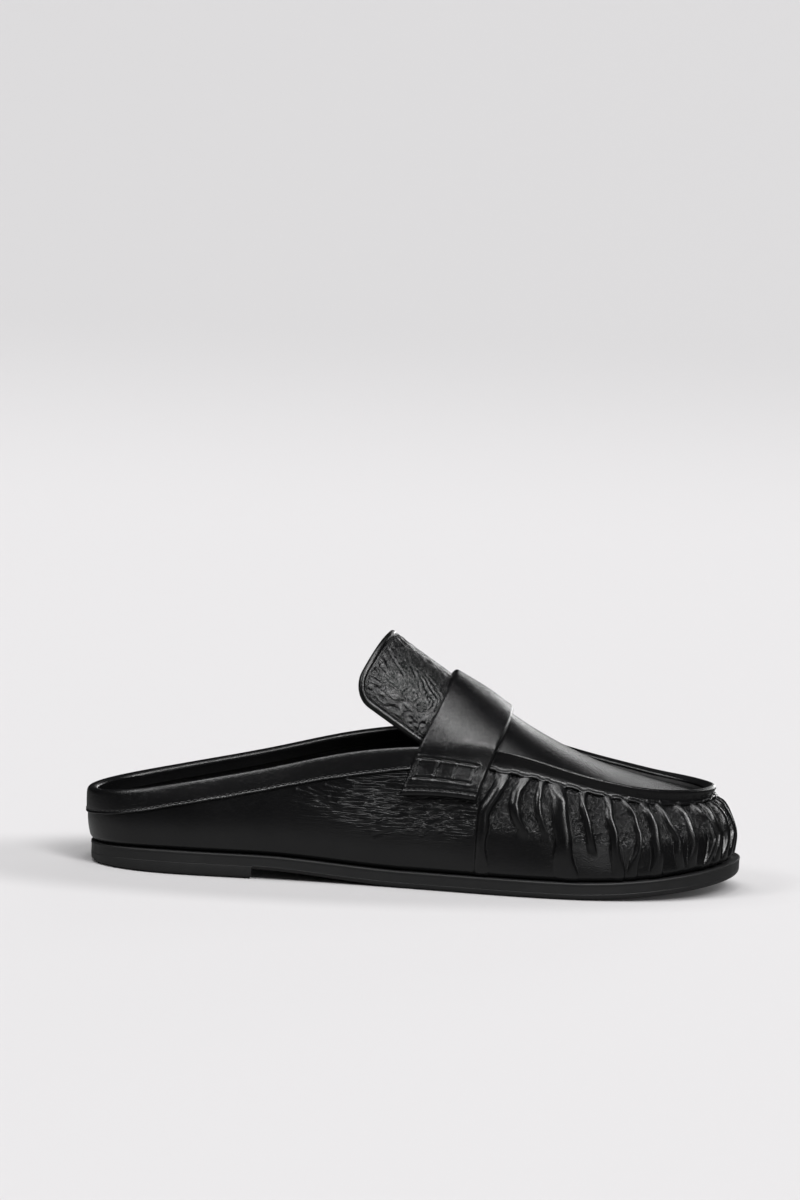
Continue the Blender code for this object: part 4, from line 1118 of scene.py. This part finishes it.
def rib_profile(sections):
    held = taper(sections.place, rib_ends)
    proud = RIB_PROUD * held
    rise = sections.rim_length()
    stands, _, _ = fold_shape(sections.place, np.full(len(sections.place), 0.90))
    dip = LIP_WAVE * (0.45 - smooth(stands / 1.6))
    dip = dip + 0.12 * np.sin(sections.place * 0.9)
    # over the toe the strip curls into a thick round roll that sits on the gathers
    toe = np.exp(-(((sections.place - GATHER_FROM - TOE_RUN * GATHER_RUN) / 34.0) ** 2))
    dip = dip * (1 - 0.4 * toe) + 0.5 * toe - LIP_DROP * held * (1 - toe)
    flare = held * (1 - 0.9 * toe)
    swell = np.sin(sections.place * 0.21) * 0.06 + np.sin(sections.place * 0.083 + 1.0) * 0.08
    bulge = 0.45 * smooth(stands / 1.6)
    face = proud + swell
    far = -OVERLAY_SET_IN - RIM_THICK
    return [
        (dip - 0.75, np.full_like(proud, -0.75)),
        (dip - 1.02, -0.1 + 0.1 * proud),
        (dip - 0.95, proud * 0.35 + 0.35 + bulge * 0.7),
        (dip - 0.78, proud * 0.7 + 0.78 + bulge),
        (dip - 0.30, proud * 0.8 + 0.98 + bulge),
        (dip + 0.20, proud * 0.8 + 0.78 + bulge),
        (dip + 0.50, proud * 0.6 + 0.26 + bulge * 0.8),
        (dip + 0.66, proud * 0.5 - 0.10 + bulge * 0.5),
        (dip * 0.5 + 1.25, face * (0.30 + 0.3 * toe) - 0.25 * (1 - toe) + bulge * 0.2),
        (rise * 0.42, face * (0.55 + 0.3 * toe) + 0.05 * flare + 0.30 * toe),
        (rise * 0.65, face * (0.80 + 0.2 * toe) + 0.40 * flare + 0.75 * toe),
        (rise - 1.35, face + 0.42 * flare + 1.00 * toe),
        (rise - 0.95 + 0.10 * toe, face + 0.52 * flare + 1.05 * toe),
        (rise - 0.50 + 0.25 * toe, face + 0.66 * flare + 0.90 * toe),
        (rise - 0.10 + 0.42 * toe, face + 0.58 * flare + 0.50 * toe),
        (rise + 0.18 * held + 0.52 * toe, face + 0.32 * flare - 0.05 * toe),
        (rise + 0.28 * held + 0.52 * toe, face - 0.05 * flare - 0.05 - 0.75 * toe),
        (rise + 0.18 * held + 0.40 * toe, face - 0.40 * flare - 0.10 - 1.45 * toe),
        (rise + 0.04 + 0.10 * toe, face * 0.3 - 0.5 - 1.5 * toe),
        (rise - 0.02 - 0.30 * toe, face * 0.0 - 1.2 - 1.3 * toe),
        (rise - 0.12, far + 0.25),
        (rise - 0.5, far + 0.0 * proud),
        (rise - (RIM_EDGE - FIT_GAP), far + 0.0 * proud),
        (rise - (RIM_EDGE - FIT_GAP), -OVERLAY_SET_IN + FIT_GAP + 0.0 * proud),
        (rise * 0.4, -OVERLAY_SET_IN + FIT_GAP + 0.0 * proud),
    ]


apron_seam = strip("apron_seam", rib_places, rib_profile)
bpy.ops.object.shade_smooth_by_angle(angle=math.radians(60.0))
edge_leather = leather(
    "edge_leather", CALF_BLACK, CALF_RUBBED, 0.05, (0.25, 0.22), 1500.0, wrinkle=0.3
)[0]
apron_seam.data.materials.append(edge_leather)
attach(apron_seam, "root")
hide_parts("apron_rib")


# Collar band
# A band of the same calf folded over the topline from one end of the strap round the heel to the
# other, with a row of stitches and a thin rolled lip along its lower edge.

BAND_END_STATION, BAND_PROUD, BAND_LEAF = 7.52, 0.6, 6.0
BAND_LEATHER = 0.9

band_stations = np.linspace(0.0, BAND_END_STATION, 200)
band_places = np.concatenate([
    loop_place(1, band_stations[:0:-1]) - LOOP_LENGTH, loop_place(-1, band_stations),
])
band_ends = (band_places[0], band_places[-1])


def band_wave(place):
    """The band's lower edge was cut by hand, and wanders a little."""
    return 0.10 * np.sin(place * 0.13) + 0.06 * np.sin(place * 0.41 + 1.0)


def band_profile(sections):
    proud = BAND_PROUD * taper(sections.place, band_ends)
    rise = sections.rim_length()
    wave = band_wave(sections.place)
    zero = 0.0 * proud
    inner = -OVERLAY_SET_IN - RIM_THICK
    far = inner - FIT_GAP - BAND_LEATHER
    return [
        (zero + 0.05, zero - 0.70),
        (wave - 0.22, proud * 0.2 - 0.05),
        (wave - 0.30, proud * 0.6 + 0.12),
        (wave - 0.12, proud * 0.8 + 0.30),
        (wave + 0.16, proud + 0.26),
        (wave + 0.40, proud + 0.06),
        (wave + 0.75, proud - 0.06),
        (wave + 1.05, proud - 0.16),
        (wave + 1.35, proud - 0.04),
        (wave + 1.9, proud + 0.02),
        (rise * 0.45, proud + 0.14),
        (rise - 2.4, proud + 0.18),
        (rise - 1.6, proud + 0.12),
        (rise - 1.0, proud - 0.04),
        (rise - 0.50, proud - 0.26),
        (rise - 0.12, proud - 0.62),
        (rise + 0.03, proud * 0.5 - 1.0),
        (rise + 0.02, (proud + far) / 2),
        (rise - 0.06, far + 0.7),
        (rise - 0.40, far + 0.22),
        (rise - 1.0, far + zero),
        (rise - BAND_LEAF * 0.5, far - 0.04 + zero),
        (rise - BAND_LEAF + 0.8, far - 0.10 + zero),
        (rise - BAND_LEAF + 0.2, far - 0.02 + zero),
        (rise - BAND_LEAF, far + 0.4 + zero),
        (rise - BAND_LEAF, inner - FIT_GAP + zero),
        (rise - (RIM_EDGE - FIT_GAP), inner - FIT_GAP + zero),
        (rise - (RIM_EDGE - FIT_GAP), -OVERLAY_SET_IN + FIT_GAP + zero),
        (rise * 0.4, -OVERLAY_SET_IN + FIT_GAP + zero),
    ]


collar_trim = strip("collar_trim", band_places, band_profile)
bpy.ops.object.shade_smooth_by_angle(angle=math.radians(60.0))
collar_trim.data.materials.append(edge_leather)
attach(collar_trim, "root")
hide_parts("collar_band")

band_line_places = np.linspace(band_ends[0] + 2.0, band_ends[1] - 2.0, 500)
sections = Sections(band_line_places)
proud = BAND_PROUD * taper(band_line_places, band_ends)
wave = band_wave(band_line_places)
spot = sections.rim(wave + 1.05, proud - 0.16)
ahead = sections.rim(wave + 1.05, proud + 0.84)
band_line = sections.point(spot[:, 0], spot[:, 1])
band_ups = sections.point(ahead[:, 0], ahead[:, 1]) - band_line
band_thread = stitch_row("collar_stitches", band_line, band_ups, 2.6, 0.44, sink=0.05)
band_thread.data.materials.append(thread)
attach(band_thread, "root")


# Tongue
# A stiffened tab of crushed calf that runs from under the strap up and back over the instep. Its
# free edges are bound with a narrow rolled strip, with a row of stitches just inside.

TONGUE_THICK, TONGUE_REACH, TONGUE_RISE = 2.4, 30.8, math.radians(33.5)
TONGUE_CORNER, TONGUE_SPAN, TONGUE_INSET = 9.0, 0.955, 3.6
TONGUE_BOW, TONGUE_SKEW, TONGUE_FRONT_GAP = 1.7, 6.5, 0.5
ARCH_GIRTH = 0.46 * BALL_WIDTH
THROAT_STATION = 7.27
BINDING_WIDE, BINDING_THICK = 2.0, 0.45

TONGUE_COLUMNS, TONGUE_UNDER_ROWS = 210, 30

tongue_turns = TONGUE_SPAN * np.sin(np.linspace(-math.pi / 2, math.pi / 2, TONGUE_COLUMNS))
back = np.array([-math.cos(TONGUE_RISE), 0.0, math.sin(TONGUE_RISE)])
start = JOINT_STATION - TONGUE_FRONT_GAP / SOLE_LENGTH * TOE_STATION
under_strap = crown_rows(np.linspace(start, THROAT_STATION, TONGUE_UNDER_ROWS), tongue_turns, TONGUE_INSET)
throat = under_strap[-1]
tip = ridge_of(np.array([THROAT_STATION]), TONGUE_INSET)[0] @ back + TONGUE_REACH
inside = np.maximum(TONGUE_CORNER - ARCH_GIRTH * (TONGUE_SPAN - np.abs(tongue_turns)), 0.0)
corner = TONGUE_CORNER - np.sqrt(np.maximum(TONGUE_CORNER**2 - inside**2, 0.0))
reach = (
    tip - throat @ back + TONGUE_BOW * np.sin(math.pi * np.abs(tongue_turns)) - corner
    - TONGUE_SKEW * np.maximum(tongue_turns, 0.0)
)
free_shares = np.linspace(0.0, 1.0, 126)[1:]
free = throat[None] + back * (reach[None, :, None] * free_shares[:, None, None])
tongue_grid = np.concatenate([under_strap, free], axis=0)
tongue_normals = grid_normals(tongue_grid)

# creases: depth, width, and a path in millimetres round from the tongue's middle line
# and up from the strap
TONGUE_CREASES = (
    (0.3, 0.5,
     ((-29.0, 31.0), (-29.0, 27.8), (-30.2, 23.6), (-30.2, 19.3), (-30.8, 15.4), (-31.4, 12.2),
      (-30.8, 8.7))),
    (0.34, 0.55,
     ((-30.8, 8.7), (-30.8, 5.5), (-29.0, 3.5), (-27.2, 3.1), (-25.2, 3.5), (-24.5, 5.4),
      (-25.2, 7.7))),
    (0.25, 0.45, ((-29.6, 7.9), (-29.0, 5.1), (-27.2, 4.3), (-25.9, 4.7), (-25.9, 6.2))),
    (0.26, 0.5, ((-19.4, 31.1), (-19.4, 28.0), (-20.9, 25.1), (-22.4, 22.2), (-23.8, 19.3))),
    (0.24, 0.5, ((-15.5, 26.4), (-17.1, 23.2), (-17.9, 19.9), (-18.7, 17.0), (-20.9, 14.5))),
    (0.26, 0.5,
     ((-16.3, 20.6), (-17.9, 17.3), (-17.9, 13.5), (-18.7, 10.6), (-20.9, 8.0), (-22.4, 5.0),
      (-23.1, 2.3))),
    (0.26, 0.5, ((-18.7, 14.0), (-20.9, 10.7), (-23.1, 8.8), (-24.5, 5.4))),
    (0.24, 0.45, ((-23.1, 12.3), (-25.2, 10.5), (-25.9, 8.1))),
    (0.22, 0.45, ((-22.4, 33.0), (-22.4, 31.0), (-22.4, 29.1))),
    (0.24, 0.5, ((-27.2, 32.4), (-27.2, 30.8), (-26.5, 28.4))),
    (0.3, 0.6, ((-30.8, 32.7), (-30.2, 30.3), (-30.2, 27.5), (-30.8, 24.4))),
    (0.3, 0.6, ((-33.0, 32.5), (-32.4, 30.1), (-32.4, 27.3))),
    (0.26, 0.5, ((-34.9, 31.8), (-34.4, 28.4), (-33.0, 25.3))),
    (0.22, 0.5, ((-36.5, 31.2), (-36.5, 27.8))),
    (0.24, 0.45, ((-35.3, 20.3), (-34.4, 18.5), (-33.5, 16.2), (-32.4, 14.6))),
    (0.24, 0.45, ((-37.6, 20.8), (-36.5, 18.5), (-36.1, 15.9), (-36.1, 14.3))),
    (0.22, 0.45, ((-37.3, 18.3), (-37.3, 16.8), (-36.9, 14.6))),
    (0.22, 0.45, ((-27.2, 21.0), (-28.4, 18.8), (-29.6, 18.9))),
    (0.22, 0.45, ((-27.8, 15.6), (-30.2, 16.5), (-30.2, 14.6), (-29.6, 13.0))),
    (0.22, 0.45, ((-27.2, 13.6), (-26.5, 11.3), (-27.8, 9.4), (-30.8, 10.6))),
    (0.25, 0.5, ((-35.7, 12.5), (-34.4, 10.6), (-33.9, 8.7))),
    (0.3, 0.6, ((-38.3, 9.3), (-36.5, 6.9), (-34.9, 3.5))),
    (0.25, 0.5, ((-37.3, 4.6), (-35.7, 4.7), (-34.4, 3.2))),
    (0.22, 0.5, ((-20.2, 5.3), (-20.9, 2.3), (-23.1, 0.8))),
    (0.22, 0.5, ((-16.3, 12.0), (-17.9, 8.3), (-19.4, 4.2))),
)
tongue_u = np.broadcast_to(tongue_turns, tongue_grid.shape[:2])
tongue_v = np.concatenate([np.linspace(-0.6, 0.0, TONGUE_UNDER_ROWS), free_shares])[:, None]
tongue_v = tongue_v * np.ones(TONGUE_COLUMNS)
tongue_round, tongue_up = tongue_u * ARCH_GIRTH, tongue_v * reach[None]
tongue_sunk = 0.7 * creases_at(TONGUE_CREASES, tongue_round, tongue_up)
tongue_sunk += 0.7 * creases_at(TONGUE_CREASES, -tongue_round - 1.5, tongue_up + 1.0)


edge_away = np.minimum(
    ARCH_GIRTH * (TONGUE_SPAN - np.abs(tongue_u)),
    np.where(tongue_v > 0, (1 - tongue_v) * reach[None], 99.0),
)
# the skin gathers in small pleats where the binding pulls it in
pleats = ripples(tongue_round, tongue_up * 0.35, 1.6, 3.0, 5)
pleats = 0.14 * pleats * smooth(1 - np.abs(edge_away - 5.0) / 5.0) * smooth((20 - edge_away) / 15)
crush = 0.04 * ripples(tongue_round, tongue_up, 2.5, 6.0, 8, 1.6)
cushion = -0.45 * (1 - smooth(edge_away / 3.2))
cushion = cushion + (tongue_sunk + pleats + crush) * smooth((edge_away - 1.8) / 1.6) * smooth(
    (tongue_up + 2.0) / 2.0
)
tongue_top = tongue_grid + tongue_normals * cushion[..., None]
tongue_deep = TONGUE_THICK - 0.25 * (1 - smooth(edge_away / 3.0))
tongue_low = tongue_grid - tongue_normals * tongue_deep[..., None]
ring = np.concatenate([tongue_top, tongue_low[:, ::-1], tongue_top[:, :1]], axis=1)
middle = (tongue_top + tongue_low) / 2
cap = np.concatenate([middle, middle[:, ::-1], middle[:, :1]], axis=1)
tongue_rows = np.concatenate([cap[:1], ring, cap[-1:]], axis=0).transpose(1, 0, 2)
tongue = laid_sheet("tongue_leather", tongue_rows)
tongue_look = leather(
    "crushed_calf", CALF_BLACK, CALF_RUBBED, 0.10, (0.24, 0.20), 1500.0, wrinkle=0.6
)[0]
tongue.data.materials.append(tongue_look)
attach(tongue, "root")
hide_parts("tongue")

# the binding: a flat roll round the free boundary, from the strap up one side and down the other
first_free = 22
left = [(row, 0) for row in range(first_free, len(tongue_grid))]
across = [(len(tongue_grid) - 1, column) for column in range(1, len(tongue_turns) - 1)]
right = [(row, len(tongue_turns) - 1) for row in range(len(tongue_grid) - 1, first_free - 1, -1)]
border = np.array(left + across + right)
border_line = tongue_grid[border[:, 0], border[:, 1]]
border_ups = tongue_normals[border[:, 0], border[:, 1]]
steps = run_along(border_line)
even = np.linspace(0.0, steps[-1], 420)
border_line = np.column_stack([np.interp(even, steps, border_line[:, k]) for k in range(3)])
border_ups = np.column_stack([np.interp(even, steps, border_ups[:, k]) for k in range(3)])
soften = np.ones(9) / 9
for k in range(3):
    padded = np.pad(border_line[:, k], 4, mode="edge")
    border_line[4:-4, k] = np.convolve(padded, soften, mode="valid")[4:-4]
ways = np.gradient(border_line, axis=0)
ways /= np.linalg.norm(ways, axis=1, keepdims=True)
border_ups -= ways * np.sum(border_ups * ways, axis=1, keepdims=True)
border_ups /= np.linalg.norm(border_ups, axis=1, keepdims=True)
border_in = np.cross(border_ups, ways)
centre = tongue_grid[:, TONGUE_COLUMNS // 2].mean(axis=0)
if np.mean(np.sum((centre - border_line) * border_in, axis=1)) < 0:
    border_in = -border_in
roll = []
half = TONGUE_THICK / 2
for inwards, up in (
    (BINDING_WIDE, 0.05), (BINDING_WIDE - 0.3, 0.28), (BINDING_WIDE * 0.5, 0.42), (0.5, 0.36),
    (-0.05, 0.10), (-0.42, -0.45), (-0.52, -half), (-0.42, -TONGUE_THICK + 0.45),
    (-0.05, -TONGUE_THICK - 0.10), (0.5, -TONGUE_THICK - 0.3),
    (BINDING_WIDE * 0.6, -TONGUE_THICK - 0.3), (BINDING_WIDE, -TONGUE_THICK + 0.1),
      (BINDING_WIDE - 0.2, -half),
):
    roll.append(border_line + border_in * inwards + border_ups * up)
roll.append(roll[0])
roll = np.array(roll)
middle = roll[:-1].mean(axis=0)
closing = [np.repeat(middle[None, column], len(roll), axis=0)[:, None] for column in (0, -1)]
binding = laid_sheet("tongue_binding", np.concatenate([closing[0], roll, closing[1]], axis=1))
binding.data.materials.append(edge_leather)
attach(binding, "root")

stitch_line = border_line + border_in * (BINDING_WIDE + 0.75) - border_ups * 0.1
tongue_thread = stitch_row("tongue_stitches", stitch_line, border_ups, 2.0, 0.42, sink=0.0)
tongue_thread.data.materials.append(thread)
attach(tongue_thread, "root")


# Saddle strap
# A plain strap of smooth firm calf laid across the instep over tongue, plug and wall. Both of its
# long edges are rounded over, and each end is held by a ladder of three stitched boxes.

STRAP_THICK, STRAP_STANDOFF, STRAP_DROP, STRAP_SLANT = 2.3, 0.65, 20.0, 0.37
STRAP_FRONT_STATION = 8.62
STRAP_EDGE = 1.5
STRAP_ROWS, STRAP_COLUMNS = 84, 420


def wall_at(side, x, height):
    """The point of the wall's outer face at a distance from the heel and a height."""
    sections = Sections(loop_place(side, np.linspace(6.0, 10.0, 33)))
    shares = np.linspace(0.0, 1.0, 21)
    face = np.array([sections.wall(share)[0] for share in shares])
    out = np.empty(len(sections.place))
    for k in range(len(out)):
        if height <= sections.seam_z[k]:
            out[k] = np.interp(height, face[:, k, 1], face[:, k, 0])
        else:
            up = (height - sections.seam_z[k]) / (sections.top_z[k] - sections.seam_z[k])
            out[k] = -sections.seam_in[k] + (sections.seam_in[k] - sections.top_in[k]) * up
    spots = sections.point(out, np.full(len(out), height))
    return np.array([x, np.interp(x, spots[:, 0], spots[:, 1]), height])


def strap_line(station):
    """The strap's inner face along one line of its length, from the outer end to the inner."""
    line = []
    for side in (-1, 1):
        sections = Sections(loop_place(side, np.array([station])))
        rim = sections.point(-sections.top_in, sections.top_z)[0]
        down = []
        for drop in np.linspace(1.0, 0.0, 6)[:-1] * STRAP_DROP:
            place = wall_at(side, rim[0] - STRAP_SLANT * drop, rim[2] - drop)
            place[1] += side * STRAP_STANDOFF
            down.append(place)
        edge = rim + np.array([0.0, side * STRAP_STANDOFF, 0.0])
        ridge = ridge_of(np.array([station]), 0.0)[0] + np.array([0.0, 0.0, FIT_GAP * 1.5])
        turns = np.linspace(1.0, 0.0, 10)
        half = down + [arch_points(ridge, edge, turn, sections.arch[0]) for turn in turns]
        line += half if side < 0 else half[-2::-1]
    return np.array(line)


strap_coarse = np.array(
    [strap_line(s) for s in np.linspace(THROAT_STATION, STRAP_FRONT_STATION, 7)]
)


def finer(values, size):
    """Values at even steps along an axis-0 curve, through a smooth cubic that meets each of them."""
    old = np.arange(len(values))
    new = np.linspace(0, len(values) - 1, size)
    i = np.clip(new.astype(int), 0, len(values) - 2)
    t = (new - i).reshape(-1, *([1] * (values.ndim - 1)))
    before = values[np.maximum(i - 1, 0)]
    after = values[np.minimum(i + 2, old[-1])]
    first, second = values[i], values[i + 1]
    before = np.where((i == 0).reshape(t.shape), 2 * first - second, before)
    after = np.where((i == old[-1] - 1).reshape(t.shape), 2 * second - first, after)
    return 0.5 * (
        2 * first + (second - before) * t + (2 * before - 5 * first + 4 * second - after) * t**2
        + (3 * first - before - 3 * second + after) * t**3
    )


strap_grid = finer(strap_coarse, STRAP_ROWS)
strap_grid = finer(strap_grid.transpose(1, 0, 2), STRAP_COLUMNS).transpose(1, 0, 2)
strap_normals = grid_normals(strap_grid)
strap_width = np.concatenate([
    [0.0], np.cumsum(np.linalg.norm(np.diff(strap_grid[:, 210], axis=0), axis=1)),
])
strap_length = np.concatenate([
    [0.0], np.cumsum(np.linalg.norm(np.diff(strap_grid[42], axis=0), axis=1)),
])
side_away = np.minimum(strap_width, strap_width[-1] - strap_width)[:, None]
end_away = np.minimum(strap_length, strap_length[-1] - strap_length)[None]
edge_away = np.minimum(side_away, end_away)
inside = np.maximum(STRAP_EDGE - edge_away, 0.0)
over = STRAP_EDGE - np.sqrt(np.maximum(STRAP_EDGE**2 - inside**2, 0.0))
# the ladder of stitches at each end: stitch length, and the run's ends as millimetres from the
# strap's back edge and from its end
STRAP_LADDER = (
    (7.3, (1.8, 16.6), (23.8, 14.4)), (7.0, (3.0, 7.8), (24.0, 6.4)),
    (2.9, (1.8, 16.6), (3.0, 7.8)), (2.9, (9.3, 15.8), (10.1, 7.2)),
    (2.8, (16.5, 15.0), (17.1, 6.8)), (2.7, (23.8, 14.4), (24.0, 6.4)),
    (2.0, (1.0, 3.0), (27.3, 2.6)),
)
strap_w = np.broadcast_to(strap_width[:, None], strap_grid.shape[:2])
strap_l = np.broadcast_to(strap_length[None], strap_grid.shape[:2])
pulled = [(0.18, 0.60, run[1:]) for run in STRAP_LADDER]
dents = creases_at(pulled, strap_w, strap_l)
dents = dents + creases_at(pulled, strap_w, strap_length[-1] - strap_l)
waves = 0.05 * ripples(strap_w, strap_l, 9.0, 22.0, 3)
strap_top = strap_grid + strap_normals * (STRAP_THICK - over + dents + waves)[..., None]
strap_low = strap_grid + strap_normals * 0.02
ring = np.concatenate([strap_top, strap_low[::-1], strap_top[:1]], axis=0)
middle = (strap_top * 0.4 + strap_low * 0.6)
cap = np.concatenate([middle, middle[::-1], middle[:1]], axis=0)
strap_rows = np.concatenate([cap[:, :1], ring, cap[:, -1:]], axis=1)
strap = laid_sheet("saddle_strap_leather", strap_rows)
bpy.ops.object.shade_smooth_by_angle(angle=math.radians(70.0))
strap_look = leather(
    "smooth_calf", CALF_BLACK, CALF_RUBBED, 0.07, (0.25, 0.22), 1400.0, wrinkle=0.30
)[0]
strap.data.materials.append(strap_look)
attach(strap, "root")
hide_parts("saddle_strap")


def on_strap(wide, along):
    """The strap's outer face and the way out of it, from its back edge and its outer end."""
    row = np.interp(wide, strap_width, np.arange(len(strap_width)))
    column = np.interp(along, strap_length, np.arange(len(strap_length)))
    i = np.clip(row.astype(int), 0, len(strap_width) - 2)
    j = np.clip(column.astype(int), 0, len(strap_length) - 2)
    s, t = (row - i)[:, None], (column - j)[:, None]

    def blend(values):
        low = values[i, j] * (1 - t) + values[i, j + 1] * t
        return low * (1 - s) + (values[i + 1, j] * (1 - t) + values[i + 1, j + 1] * t) * s

    return blend(strap_top), blend(strap_normals)


ladder = []
for stitch, begin, end in STRAP_LADDER:
    for turned_round in (False, True):
        share = np.linspace(0.0, 1.0, 60)
        wide = begin[0] + (end[0] - begin[0]) * share
        along = begin[1] + (end[1] - begin[1]) * share
        if turned_round:
            along = strap_length[-1] - along
        line, ups = on_strap(wide, along)
        thick = 0.5 if stitch > 2.5 else 0.38
        ladder.append(stitch_row("strap_stitches", line, ups, stitch, thick, sink=0.35))
bpy.ops.object.select_all(action="DESELECT")
for run in ladder:
    run.select_set(True)
bpy.context.view_layer.objects.active = ladder[0]
bpy.ops.object.join()
strap_thread = bpy.context.view_layer.objects.active
strap_thread.name = strap_thread.data.name = "strap_stitches"
strap_thread.data.materials.clear()
strap_thread.data.materials.append(thread)
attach(strap_thread, "root")
